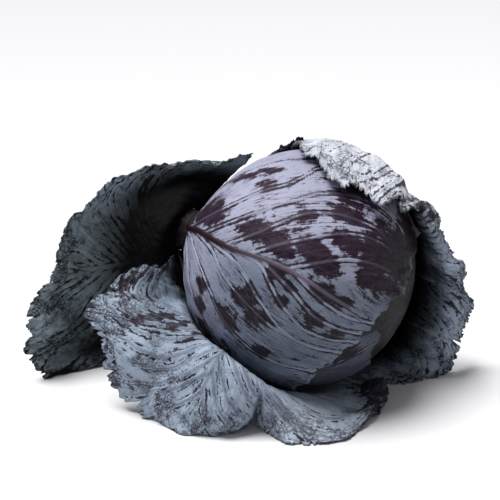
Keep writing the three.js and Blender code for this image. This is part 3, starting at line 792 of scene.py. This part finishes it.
outerLeaf = {
    "across": 430,
    "along": 215,
    "seed": 11,
    "fineFrom": -30,
    "lobe": 1.0,
    "tooth": 0.9,
    "ribTurn": 71,
    "swell": 1.0,
    "curl": 1.0,
    # the free edge as (degrees round the stalk, degrees from it)
    "margin": [
        (-98, 92), (-90, 112), (-75, 124), (-60, 137), (-40, 143), (-20, 154), (0, 162),
        (20, 168), (40, 169), (56, 167), (68, 160), (80, 156), (92, 151), (97, 149),
        (101, 147), (105, 145), (110, 142), (115, 137), (121, 131), (128, 124), (135, 119),
        (146, 111), (155, 104), (160, 98), (166, 84)],
    "step": headLeafThick + air,
    # how much lilac tint and painted light the upper head and the part near the stalk take
    "upperTintLight": 1.0,
    "nearTintLight": 0.65,
    "rise": 0.0005,
    "midrib": 0.0020,
    # veins as (degrees round the stalk, degrees from it), and their width at both ends
    "veins": [
        ([(66, 12), (69, 30), (70, 47), (72, 60), (73, 75), (73, 92), (75, 107), (80, 121),
          (86, 134), (92, 143)], 0.0021, 0.0006),
        ([(66, 20), (60, 44), (51, 64), (42, 75), (34, 86), (19, 94), (4, 104), (-8, 118)], 0.0009, 0.0005),
        ([(50, 16), (29, 30), (23, 56), (16, 78), (9, 88), (-6, 101), (-20, 118)], 0.0009, 0.0005),
        ([(70, 50), (58, 72), (46, 89), (34, 101), (23, 117), (14, 134)], 0.0009, 0.0005),
        ([(73, 68), (62, 84), (50, 97), (43, 106), (38, 118), (30, 136)], 0.0009, 0.0005),
        ([(73, 82), (66, 93), (57, 107), (48, 119), (41, 130), (34, 144)], 0.0009, 0.0005),
        ([(74, 100), (68, 111), (60, 124), (54, 137), (50, 148)], 0.0008, 0.0005),
        ([(67, 26), (72, 44), (77, 60), (86, 72), (93, 85), (100, 98), (107, 112),
          (114, 126)], 0.0009, 0.0003),
        ([(74, 20), (82, 42), (94, 62), (107, 75), (117, 90), (124, 106), (129, 120)], 0.0009, 0.0004),
        ([(80, 16), (98, 36), (112, 54), (124, 68), (134, 84), (140, 100)], 0.0009, 0.0005),
        ([(90, 14), (116, 30), (136, 48), (148, 66), (156, 86)], 0.0009, 0.0005),
        ([(73, 58), (79, 78), (91, 93), (103, 106), (111, 119), (117, 132)], 0.0009, 0.0004),
        ([(73, 74), (76, 89), (88, 101), (99, 113), (106, 126), (111, 140)], 0.0009, 0.0004),
        ([(74, 90), (82, 105), (92, 117), (99, 129), (106, 143)], 0.0008, 0.0004),
        ([(76, 107), (84, 120), (91, 132), (98, 148)], 0.0008, 0.0004),
        ([(30, 14), (4, 30), (-12, 56), (-24, 80), (-40, 104), (-52, 128)], 0.0009, 0.0005),
        ([(10, 14), (-28, 34), (-44, 58), (-58, 84), (-72, 112)], 0.0009, 0.0005),
        ([(0, 15), (-50, 36), (-70, 60), (-84, 90)], 0.0009, 0.0005)],
    # rubbed places, and places darkened as painted shade: degrees round, degrees away, half widths,
    # strength
    "wearAndShade": [
        (52, 32, 13, 15, 1.2), (58, 50, 7, 12, 1.0), (52, 52, 7, 8, 0.9), (30, 58, 4, 12, 0.9),
        (27, 72, 3, 9, 0.8), (37, 78, 5, 9, 0.6), (62, 81, 5, 8, 0.9), (65, 94, 5, 8, 1.0),
        (62, 110, 5, 10, 1.0), (67, 116, 6, 7, 0.9), (46, 101, 4, 6, 0.7), (38, 116, 6, 12, 0.9),
        (29, 110, 4, 10, 0.8), (52, 122, 8, 9, 1.0), (50, 138, 12, 12, 1.0), (64, 136, 8, 8, 0.9),
        (76, 97, 5, 5, 0.8), (81, 104, 4, 4, 0.7), (91, 86, 6, 7, 1.0), (99, 93, 6, 7, 0.8),
        (88, 102, 4, 5, 0.8), (98, 58, 6, 6, 0.8), (110, 59, 7, 6, 0.9), (124, 63, 7, 8, 1.0),
        (134, 70, 8, 12, 0.9), (117, 97, 4, 5, 0.9), (120, 110, 3, 3, 0.6), (94, 115, 5, 5, 0.7),
        (103, 128, 4, 5, 0.8), (80, 119, 5, 6, 0.8), (82, 130, 5, 6, 0.7), (28, 142, 12, 12, 0.9),
        (105, 78, 6, 8, 0.5), (14, 108, 12, 18, 1.0), (30, 150, 30, 18, 1.0),
        (62, 150, 14, 12, 0.8), (-8, 148, 20, 18, 0.9)],
    # places that lie deep in shade
    "shaded": [(13, 104, 9, 16, 0.75), (30, 162, 40, 22, 0.9), (64, 160, 24, 12, 0.85),
               (-10, 150, 22, 20, 0.85), (84, 158, 12, 7, 0.7), (112, 112, 18, 26, 0.3),
               (150, 84, 14, 40, 0.6), (50, 14, 40, 9, 0.7)],
}
secondLeaf = {
    "across": 240,
    "along": 150,
    "seed": 31,
    "fineFrom": 90,
    "lobe": 0.8,
    "tooth": 0.6,
    "ribTurn": 132,
    "swell": 0.25,
    "curl": 0.1,
    "margin": [
        (62, 159), (80, 156), (95, 158), (110, 153), (125, 155), (140, 149), (155, 150),
        (170, 142), (185, 139), (200, 126), (212, 104)],
    "step": 0.0,
    "upperTintLight": 0.0,
    "nearTintLight": 0.3,
    "rise": 0.0002,
    "veins": [
        ([(130, 12), (132, 50), (136, 90), (130, 120), (128, 150)], 0.0009, 0.0005),
        ([(134, 60), (120, 92), (112, 120), (108, 146)], 0.0008, 0.0005),
        ([(134, 50), (152, 84), (160, 112), (166, 134)], 0.0008, 0.0005),
        ([(132, 36), (164, 70), (178, 100), (186, 128)], 0.0008, 0.0005)],
    "wearAndShade": [(118, 138, 5, 5, 0.8), (104, 148, 8, 5, 0.6), (70, 155, 28, 14, 1.2),
             (124, 138, 9, 6, 0.7)],
    "shaded": [(60, 160, 45, 18, 0.9), (96, 152, 20, 13, 0.9),
               (150, 110, 25, 60, 0.5)],
}

# what the wrapper leaves share: heights, wavelengths and reaches in metres
wrapper = {
    "marginRows": 1.15,  # above 1 the lines of corners draw together toward the margin
    "waves": 8,
    "ruffleFrom": 0.55,
    "ruffle": 0.0026,
    "crumple": 0.0014,
    "crumpleWave": 0.030,
    "crease": 0.0012,
    "creaseWave": 0.014,
    "creaseReach": 0.02,
    "frill": 0.0006,
    "frillWave": 0.0065,
    "frillReach": 0.006,
    "puff": 0.0017,
    "veinSide": -1,  # the face that the veins stand up from
    "notches": [],
    "pleats": [],
    "raised": [],
    "paintedLight": [],
    "shaded": [],
}
# from and to are degrees round the stalk; spots are (across, out, half widths, strength) as
# shares of the leaf; ribs are (right, back, up) from the middle of the head in leaf units
leftLeaf = {
    **wrapper,
    "from": -35,
    "to": 130,
    "across": 380,
    "along": 125,
    "seed": 51,
    "reach": 1.06,
    "waves": 6,
    "frill": 0.0005,
    "tooth": 0.008,
    "toothWave": 0.18,
    "lobe": 0.018,
    "lobeWave": 1.3,
    "veins": {"seed": 5, "rib": 0.52, "ribWidth": 0.0022, "sides": 8, "sideWidth": 0.0011,
              "forkWidth": 0.0006, "rise": 0.0008},
    "wearAndShade": [(0.79, 0.95, 0.05, 0.12, 1.0), (0.72, 0.62, 0.10, 0.15, 0.5)],
    "paintedLight": [(0.93, 0.92, 0.07, 0.12, 0.7)],
    "shade": (0.42, 0.86),
    "shaded": [(0.72, 0.74, 0.08, 0.20, 1.0), (0.64, 0.74, 0.05, 0.13, 0.85),
               (0.775, 0.94, 0.035, 0.12, 0.9)],
    "notches": [(0.0, 0.06, 0.12), (0.36, 0.020, 0.04), (0.63, 0.020, 0.03)],
    "ribs": [
        [[-0.80, 0.64, 0.42], [-0.62, 0.74, 0.62], [-0.46, 0.70, 0.78], [-0.38, 0.58, 0.88]],
        [[-0.96, 0.52, 0.48], [-0.94, 0.68, 0.64], [-0.88, 0.68, 0.72], [-0.82, 0.56, 0.78]],
        [[-1.09, 0.32, 0.40], [-1.22, 0.60, 0.55], [-1.30, 0.64, 0.68], [-1.36, 0.52, 0.74]],
        [[-1.20, 0.23, 0.29], [-1.44, 0.52, 0.40], [-1.66, 0.58, 0.46], [-1.80, 0.44, 0.50]],
        [[-1.24, 0.20, 0.12], [-1.54, 0.46, 0.12], [-1.88, 0.48, 0.10], [-2.12, 0.26, 0.06]],
        [[-1.22, 0.26, -0.10], [-1.56, 0.46, -0.22], [-1.94, 0.42, -0.32], [-2.28, 0.08, -0.36]],
        [[-1.16, 0.30, -0.28], [-1.48, 0.46, -0.50], [-1.88, 0.40, -0.72], [-2.36, 0.02, -0.74]],
        [[-1.08, 0.38, -0.42], [-1.34, 0.50, -0.72], [-1.68, 0.46, -0.98], [-2.16, 0.18, -1.09]],
        [[-1.00, 0.46, -0.50], [-1.18, 0.56, -0.80], [-1.42, 0.54, -1.00], [-1.76, 0.50, -1.06]],
        [[-0.92, 0.56, -0.52], [-1.02, 0.66, -0.80], [-1.18, 0.66, -0.98], [-1.40, 0.62, -1.06]],
    ],
}
frontLeaf = {
    **wrapper,
    "from": 131,
    "to": 215,
    "across": 400,
    "along": 120,
    "seed": 71,
    "reach": 1.04,
    "crease": 0.0008,
    "frill": 0.0003,
    "puff": 0.0008,
    "tooth": 0.016,
    "toothWave": 0.13,
    "lobe": 0.014,
    "lobeWave": 1.0,
    "veins": {"seed": 6, "rib": 0.46, "ribWidth": 0.0022, "sides": 9, "sideWidth": 0.0011,
              "forkWidth": 0.0008, "rise": 0.0008},
    "wearAndShade": [(0.0, 0.35, 0.07, 0.4, 1.6), (0.97, 0.8, 0.09, 0.35, 1.2), (0.25, 0.60, 0.014, 0.14, 0.9),
             (0.29, 0.50, 0.012, 0.12, 0.9), (0.35, 0.45, 0.014, 0.14, 0.8), (0.17, 0.9, 0.03, 0.08, 0.6)],
    "paintedLight": [(0.76, 0.8, 0.10, 0.4, 0.8)],
    "shade": (0.14, 0.48),
    "shaded": [(0.0, 0.6, 0.10, 0.8, 1.0), (0.10, 0.38, 0.05, 0.28, 0.8)],
    "notches": [(0.625, 0.012, 0.10), (0.20, 0.012, 0.05)],
    "pleats": [(0.625, 0.012, 0.006), (0.50, 0.02, 0.002), (0.38, 0.02, 0.002)],
    "raised": [(0.93, 0.9, 0.06, 0.3, 0.007)],
    "ribs": [
        [[-0.99, 0.20, -0.12], [-1.04, 0.06, -0.04], [-1.08, -0.02, 0.06], [-1.09, -0.04, 0.13]],
        [[-0.99, 0.14, -0.20], [-1.08, -0.08, -0.14], [-1.16, -0.16, -0.04], [-1.22, -0.14, 0.02]],
        [[-0.97, 0.08, -0.28], [-1.06, -0.22, -0.20], [-1.22, -0.34, 0.00], [-1.30, -0.30, 0.14]],
        [[-0.95, 0.02, -0.36], [-1.04, -0.34, -0.22], [-1.36, -0.46, -0.08], [-1.60, -0.36, -0.02]],
        [[-0.92, -0.02, -0.46], [-1.00, -0.44, -0.26], [-1.40, -0.56, -0.24], [-1.80, -0.38, -0.24]],
        [[-0.86, -0.04, -0.56], [-0.94, -0.54, -0.32], [-1.28, -0.68, -0.42], [-1.64, -0.50, -0.50]],
        [[-0.80, -0.06, -0.66], [-0.84, -0.66, -0.38], [-1.16, -0.80, -0.64], [-1.50, -0.56, -0.94]],
        [[-0.72, -0.08, -0.76], [-0.72, -0.80, -0.42], [-0.96, -0.96, -0.74], [-1.22, -0.82, -1.08]],
        [[-0.72, -0.00, -0.80], [-0.62, -0.88, -0.46], [-0.74, -1.04, -0.80], [-0.86, -1.02, -1.09]],
        [[-0.66, 0.04, -0.85], [-0.50, -0.94, -0.52], [-0.52, -1.04, -0.80], [-0.58, -0.98, -1.09]],
        [[-0.60, 0.08, -0.90], [-0.40, -0.94, -0.60], [-0.38, -1.00, -0.80], [-0.44, -0.80, -1.05]],
        [[-0.54, 0.13, -0.93], [-0.30, -0.94, -0.68], [-0.22, -1.08, -0.88], [-0.26, -1.08, -1.09]],
        [[-0.49, 0.18, -0.96], [-0.14, -0.84, -0.80], [-0.02, -1.06, -0.98], [-0.02, -1.20, -1.09]],
        [[-0.44, 0.24, -0.97], [0.06, -0.66, -0.90], [0.22, -0.90, -1.02], [0.30, -1.04, -1.09]],
        [[-0.40, 0.30, -0.97], [0.24, -0.44, -0.98], [0.42, -0.64, -1.04], [0.54, -0.76, -1.08]],
        [[-0.36, 0.36, -0.97], [0.36, -0.24, -1.03], [0.56, -0.34, -1.03], [0.70, -0.40, -1.05]],
        [[-0.32, 0.42, -0.96], [0.40, -0.04, -1.04], [0.58, -0.08, -1.02], [0.70, -0.08, -0.98]],
    ],
}
rightLeaf = {
    **wrapper,
    "from": 228,
    "to": 280,
    "across": 380,
    "along": 125,
    "seed": 91,
    "reach": 1.03,
    "tooth": 0.013,
    "toothWave": 0.14,
    "lobe": 0.014,
    "lobeWave": 1.0,
    "veins": {"seed": 7, "rib": 0.45, "ribWidth": 0.0022, "sides": 9, "sideWidth": 0.0011,
              "forkWidth": 0.0006, "rise": 0.0008},
    "wearAndShade": [(0.7, 0.9, 0.05, 0.12, 0.5), (0.80, 0.85, 0.04, 0.10, 0.4),
             (0.62, 0.9, 0.07, 0.2, 0.5)],
    "paintedLight": [(0.78, 0.8, 0.16, 0.35, 1.0), (0.92, 0.75, 0.12, 0.35, 1.0)],
    "shade": (0.66, 0.80),
    "notches": [(0.36, 0.010, 0.05), (0.55, 0.010, 0.04), (0.72, 0.012, 0.06)],
    "ribs": [
        [[-0.55, 0.62, -0.80], [0.05, 0.40, -1.06], [0.42, 0.10, -1.06], [0.60, -0.08, -1.08]],
        [[-0.52, 0.76, -0.68], [0.20, 0.70, -0.98], [0.76, 0.32, -1.02], [0.90, 0.00, -1.08]],
        [[-0.50, 0.90, -0.54], [0.32, 0.88, -0.82], [0.96, 0.22, -0.90], [1.24, 0.16, -1.07]],
        [[-0.48, 1.00, -0.38], [0.40, 1.02, -0.60], [1.12, 0.06, -0.64], [1.42, 0.36, -0.86]],
        [[-0.46, 1.06, -0.20], [0.46, 1.08, -0.34], [1.20, 0.00, -0.34], [1.51, 0.40, -0.60]],
        [[-0.45, 1.08, 0.00], [0.48, 1.08, -0.06], [1.18, -0.04, -0.06], [1.44, 0.42, -0.28]],
        [[-0.44, 1.06, 0.18], [0.48, 1.02, 0.22], [1.10, -0.08, 0.18], [1.30, 0.42, 0.04]],
        [[-0.44, 1.01, 0.36], [0.46, 0.94, 0.46], [1.01, -0.14, 0.40], [1.16, 0.36, 0.30]],
        [[-0.44, 0.97, 0.44], [0.44, 0.88, 0.58], [0.94, -0.08, 0.57], [0.98, 0.10, 0.52]],
        [[-0.44, 0.93, 0.51], [0.38, 0.80, 0.68], [0.84, 0.00, 0.70], [0.78, -0.42, 0.64]],
        [[-0.45, 0.86, 0.62], [0.26, 0.66, 0.86], [0.60, 0.02, 0.94], [0.56, -0.56, 0.78]],
        [[-0.46, 0.78, 0.64], [0.14, 0.58, 0.97], [0.34, 0.02, 1.05], [0.34, -0.56, 0.90]],
        [[-0.48, 0.70, 0.66], [-0.01, 0.58, 0.96], [0.12, 0.04, 1.08], [0.10, -0.42, 1.01]],
        [[-0.50, 0.68, 0.58], [-0.17, 0.64, 0.78], [-0.05, 0.12, 1.07], [-0.04, -0.22, 1.07]],
    ],
}
backLeaf = {
    **wrapper,
    "from": 289,
    "to": 320,
    "across": 120,
    "along": 100,
    "seed": 111,
    "reach": 1.03,
    "waves": 3,
    "crease": 0.0010,
    "tooth": 0.03,
    "toothWave": 0.4,
    "lobe": 0.02,
    "lobeWave": 1.6,
    "veins": {"seed": 8, "rib": 0.5, "ribWidth": 0.0018, "sides": 5, "sideWidth": 0.0010,
              "forkWidth": 0.0006, "rise": 0.0007},
    "wearAndShade": [(0.5, 1.0, 0.5, 0.4, 0.5)],
    "shade": (0.30, 0.70),
    "notches": [(1.0, 0.3, 0.10)],
    "ribs": [
        [[-0.62, 0.86, 0.10], [-0.24, 0.98, 0.34], [0.02, 0.84, 0.62], [0.08, 0.62, 0.86]],
        [[-0.64, 0.78, 0.32], [-0.32, 0.84, 0.54], [-0.08, 0.66, 0.80], [-0.02, 0.46, 1.01]],
        [[-0.66, 0.70, 0.46], [-0.40, 0.72, 0.66], [-0.22, 0.56, 0.82], [-0.14, 0.42, 1.03]],
        [[-0.68, 0.66, 0.46], [-0.44, 0.66, 0.66], [-0.30, 0.58, 0.78], [-0.22, 0.48, 0.86]],
    ],
}

bloomLook = {
    "blotchScale": 34,
    "blotchDepth": 0.8,
    "mottleScale": 130,
    "mottleDepth": 0.6,
    "grainScale": 700,
    "stretch": (46, 4.5),
    "strokeDepth": 0.85,
    "scratchWidth": 0.034,
    "scratchDepth": 0.95,
    "crackleScale": 330,
    "crackleDepth": 0.0,
    "gapScale": 60,  # bare stretches between scratches and crackle
    "netScale": 330,
    "netDepth": 0.05,
    "netRise": 0.0002,
    "netColour": paint(52, 48, 62),
    "cover": 0.68,
    "bareAndShadeDepth": 0.50,
    "grooveShadeDepth": 0.30,
    "tintLightCover": 0.0,
    "rimBare": 0.0,
    "rimDark": 0.6,
    "rimColour": paint(150, 156, 176),
    "baseShadeFrom": 0.0,
    "baseShadeTo": 0.08,
    "baseShadeDepth": 0.3,
    "deep": paint(25, 19, 23),
    "deepOther": paint(17, 13, 17),
    "deepTintLit": paint(37, 17, 33),
    "dimColour": paint(14, 11, 15),
    "dimDepth": 1.0,
    "wax": paint(108, 117, 136),
    "waxOther": paint(94, 103, 121),
    "waxTintLit": paint(160, 161, 183),
    "waxPale": paint(156, 162, 182),
    "waxDepth": 0.97,
    "haze": 0.07,
    "veinBare": paint(84, 76, 92),
    "veinWax": paint(146, 151, 170),
    "veinShow": 0.8,
    "forkShow": 0.26,
    "roughBare": 0.46,
    "roughWax": 0.58,
    "shine": 0.12,
}
outerLook = dict(bloomLook, ribColour=paint(30, 6, 14), ribFar=paint(92, 80, 96))
# the second leaf and the head's skin take darker wax: partly their own colour, partly painted shade where
# they lie under the outer leaves
secondLook = dict(
    bloomLook, cover=0.64, veinShow=0.15, wax=paint(80, 86, 100), waxOther=paint(70, 76, 90),
    waxPale=paint(104, 110, 126), rimDark=0.0)
bodyLook = dict(
    secondLook, cover=0.42, wax=paint(56, 58, 68), waxOther=paint(48, 50, 60), haze=0.04,
    shine=0.1)
wrapperLook = dict(
    bloomLook, cover=0.74, wax=paint(138, 151, 163), waxOther=paint(122, 137, 139),
    waxPale=paint(166, 178, 192), waxTintLit=paint(176, 186, 198), deep=paint(24, 19, 24),
    deepOther=paint(30, 24, 30), deepTintLit=paint(64, 54, 68), stretch=(44, 5.0),
    blotchDepth=0.6, strokeDepth=0.6, mottleDepth=0.9, mottleScale=190,
    baseShadeFrom=0.2, baseShadeTo=0.7, baseShadeDepth=0.35, netDepth=0.16, netRise=0.0003,
    netColour=paint(44, 48, 58), crackleDepth=0.9, veinShow=0.35, forkShow=0.16,
    veinBare=paint(64, 50, 60), veinWax=paint(150, 160, 172), rimBare=0.10, rimDark=0.4,
    rimColour=paint(40, 32, 42), dimColour=paint(9, 7, 9), roughBare=0.72, roughWax=0.68,
    shine=0.06, haze=0.16)
frontLook = dict(
    wrapperLook, cover=0.76, wax=paint(156, 170, 188), waxOther=paint(142, 156, 175),
    waxPale=paint(190, 202, 216), waxTintLit=paint(198, 210, 224), deep=paint(38, 28, 36),
    baseShadeFrom=0.1, baseShadeTo=0.4, veinWax=paint(104, 112, 128), veinBare=paint(74, 56, 66),
    forkShow=0.25, veinShow=0.65, haze=0.2, netDepth=0.10, netRise=0.0002)
# the right leaf's flap is painted near white as painted light
rightLook = dict(
    wrapperLook, wax=paint(142, 154, 172), waxOther=paint(122, 134, 152),
    waxPale=paint(176, 186, 202), waxTintLit=paint(218, 221, 230), cover=0.70, tintLightCover=0.07,
    deepTintLit=paint(74, 68, 77))

outer = headLeaf("outer_head_leaf", outerLeaf)
dress(outer, leafFinish("lilac bloom", outerLook), "head_leaf", "head_leaf_outer")
second = headLeaf("second_head_leaf", secondLeaf)
dress(second, leafFinish("slate bloom", secondLook), "head_leaf", "head_leaf_second")
print("cabbage: head leaves")
left = wrapperLeaf("left_wrapper_leaf", leftLeaf)
dress(left, leafFinish("left leaf", wrapperLook), "wrapper", "wrapper_leaf_left")
front = wrapperLeaf("front_wrapper_leaf", frontLeaf)
dress(front, leafFinish("front leaf", frontLook), "wrapper_pale", "wrapper_leaf_front")
right = wrapperLeaf("right_wrapper_leaf", rightLeaf)
dress(right, leafFinish("right leaf", rightLook), "wrapper", "wrapper_leaf_right")
back = wrapperLeaf("back_wrapper_leaf", backLeaf)
dress(back, leafFinish("back leaf", wrapperLook), "wrapper", "wrapper_leaf_back")
print("cabbage: wrapper leaves")


def roundPiece(name, segments, rings):
    # a closed round piece with one pole toward the stalk, and its corners' directions
    selectNothing()
    bpy.ops.mesh.primitive_uv_sphere_add(segments=segments, ring_count=rings, radius=1)
    piece = bpy.context.object
    piece.name = name
    return piece, unit(corners(piece))


def putCorners(piece, places):
    piece.data.vertices.foreach_set("co", (places + middle).ravel())
    piece.data.update()
    bpy.ops.object.shade_smooth()


body = {
    "segments": 160,
    "rings": 80,
    "seed": 131,
    "hollowWave": 0.05,
    "hollowDepth": 0.003,  # share of the radius
    "shaded": [(60, 165, 60, 24, 0.8), (105, 156, 24, 18, 0.75)],
}


def innerHead():
    piece, spots = roundPiece("inner_head", body["segments"], body["rings"])
    ways = spots[:, :1] * topWay + spots[:, 1:2] * -frontWay + spots[:, 2:] * stalkWay
    polars = np.arccos(np.clip(spots[:, 2], -1, 1))
    skin = ways * headRadius(polars)[:, None]
    hollows = np.clip(ripple(skin, body["hollowWave"], body["seed"]) + 1.5, 0, 3) / 3
    skin = skin * (1 - body["hollowDepth"] * hollows)[:, None]
    turns = np.degrees(np.arctan2(skin @ frontWay, skin @ topWay))
    for label in ("vein", "fork", "grooveShade", "rim", "bareAndShade", "tintAndLight"):
        writeMark(piece, label, np.zeros(len(spots)))
    writeMark(piece, "dim", painted(turns, np.degrees(polars), body["shaded"]))
    writeMark(piece, "out", polars / np.pi)
    putCorners(piece, skin)
    return piece


# the stump as a turned shape: distance from the axis, then distance along it from the
# middle of the head, in metres, from the middle of the cut face to the hidden root
stalk = {
    "segments": 120,
    "rings": 90,
    "profile": [
        (0.0000, 0.1036), (0.0060, 0.1038), (0.0115, 0.1043), (0.0140, 0.1047), (0.0152, 0.1044),
        (0.0160, 0.1033), (0.0165, 0.1015), (0.0169, 0.0985), (0.0169, 0.0930), (0.0167, 0.0860),
        (0.0161, 0.0700), (0.0150, 0.0480), (0.0090, 0.0380), (0.0000, 0.0360)],
    "ring": 0.0165,  # the circle on which ridges and scars waver
    "faceEnds": 0.0152,
    "visibleFrom": 0.09,
    "seed": 151,
    "scars": [(0.1020, 0.0008), (0.0945, 0.0010), (0.0905, 0.0010)],
    "scarWidth": 0.0009,
    "scarSway": 0.0012,
    "ridgeWave": 0.006,
    "ridgeDepth": 0.00030,
    "dishWave": 0.004,
    "dishDepth": 0.00025,
}


def cutStump():
    piece, spots = roundPiece("cut_stalk_end", stalk["segments"], stalk["rings"])
    down = np.arccos(np.clip(spots[:, 2], -1, 1)) / np.pi
    outline = curveThrough(np.array(stalk["profile"]), down)
    across, length = outline[:, 0], outline[:, 1]
    around = np.arctan2(spots[:, 1], spots[:, 0])
    circle = np.stack([np.cos(around), np.sin(around)], axis=-1)
    ring = circle * stalk["ring"]
    onSide = smooth(0.0140, 0.0162, across) * smooth(0.040, 0.060, length)
    visible = length > stalk["visibleFrom"]

    # ridges along the side, scars of old leaves round it, and a dished, cut face
    drawn = np.concatenate([ring, length[:, None] * 0.15], axis=1)
    ridges = ripple(drawn, stalk["ridgeWave"], stalk["seed"])
    radius = across - stalk["ridgeDepth"] * np.clip(ridges + 1.5, 0, 3) * onSide
    scars = np.zeros_like(length)
    for place, depth in stalk["scars"]:
        wavy = place + stalk["scarSway"] * ripple(ring, 0.030, stalk["seed"] + 1)
        scars += depth * bell(length, wavy, stalk["scarWidth"])
    radius = radius - scars * onSide
    flat = circle * radius[:, None]
    dish = stalk["dishDepth"] * ripple(flat, stalk["dishWave"], stalk["seed"] + 2)
    length = length - np.abs(dish) * (1 - onSide) * visible
    shape = flat[:, :1] * topWay + flat[:, 1:] * -frontWay + length[:, None] * stalkWay
    visible = length > stalk["visibleFrom"]
    writeMark(piece, "face", (1 - smooth(0.0146, 0.0160, across)) * visible)
    writeMark(piece, "fromAxis", radius / stalk["faceEnds"] * visible)
    writeMark(piece, "scar", np.clip(scars * onSide / stalk["scarWidth"], 0, 1) * visible)
    putCorners(piece, shape)
    return piece


def stumpFinish():
    # cream cut face with stains and a cork ring, dark fibrous side painted near black as painted shade
    wood = Finish("cut stalk")
    place = wood.onPiece()
    fibre = wood.cloud(place, 420, 5.0, 0.6)
    stain = wood.cloud(place, 130, 4.0)
    cream = wood.mix(fibre.between(0.35, 0.65), paint(188, 180, 150), paint(164, 154, 124))
    cream = wood.mix(stain.between(0.52, 0.66) * 0.7, cream, paint(120, 96, 74))
    cork = wood.mark("fromAxis") - 0.74 + (stain - 0.5) * 0.1
    cream = wood.mix((1 - cork.away().between(0.02, 0.07)) * 0.6, cream, paint(128, 122, 88))
    # the side: its own dark maroon, near black as painted shade
    side = wood.mix(fibre.between(0.3, 0.7), paint(15, 11, 14), paint(28, 21, 26))
    side = wood.mix(wood.mark("scar") * 0.5, side, paint(46, 37, 40))
    wood.give({
        "Base Color": wood.mix(wood.mark("face").between(0.3, 0.7), side, cream),
        "Roughness": 0.72 + (fibre - 0.5) * 0.2,
        "Specular IOR Level": 0.2,
        "Normal": wood.bump(fibre + stain * 0.6, 0.0004, 0.6),
    })
    return wood.material


dress(innerHead(), leafFinish("head skin", bodyLook), "head", "head_body")
dress(cutStump(), stumpFinish(), "stalk", "cut_stalk")
print("cabbage: head and stalk")

table = {"size": 16, "colour": paint(231, 231, 233), "roughness": 0.22, "shine": 0.15}
bpy.ops.mesh.primitive_plane_add(size=table["size"], location=(0, 0, 0))
floor = bpy.context.object
floor.name = "floor"
floorFinish = Finish("white table")
floorFinish.give({
    "Base Color": table["colour"],
    "Roughness": table["roughness"],
    "Specular IOR Level": table["shine"],
})
floor.data.materials.append(floorFinish.material)

light = {"from": (-0.30, -0.04, 1.0), "spread": 32, "power": 4.2, "room": 0.28}
bpy.ops.object.light_add(type="SUN", location=(0, 0, 2))
lamp = bpy.context.object
lamp.name = "overhead light"
lamp.data.energy = light["power"]
lamp.data.angle = math.radians(light["spread"])
lamp.rotation_euler = Vector(light["from"]).to_track_quat("Z", "Y").to_euler()
world = bpy.data.worlds.new("studio")
bpy.context.scene.world = world
world.use_nodes = True
world.node_tree.nodes["Background"].inputs["Color"].default_value = (1, 1, 1, 1)
world.node_tree.nodes["Background"].inputs["Strength"].default_value = light["room"]
bpy.context.scene.view_settings.view_transform = "Standard"

cameraSpot = {
    "place": (-0.00313, -0.8798, 0.3941),
    "aim": (-0.00313, 0.0047, 0.1067),
    "lens": 90,
    "sensor": 36,
    "nearest": 0.05,
}
bpy.ops.object.camera_add(location=cameraSpot["place"])
camera = bpy.context.object
camera.data.lens = cameraSpot["lens"]
camera.data.sensor_width = cameraSpot["sensor"]
camera.data.clip_start = cameraSpot["nearest"]
sight = Vector(cameraSpot["aim"]) - Vector(cameraSpot["place"])
camera.rotation_euler = sight.to_track_quat("-Z", "Y").to_euler()
bpy.context.scene.camera = camera
print("cabbage: stage, lights and camera")
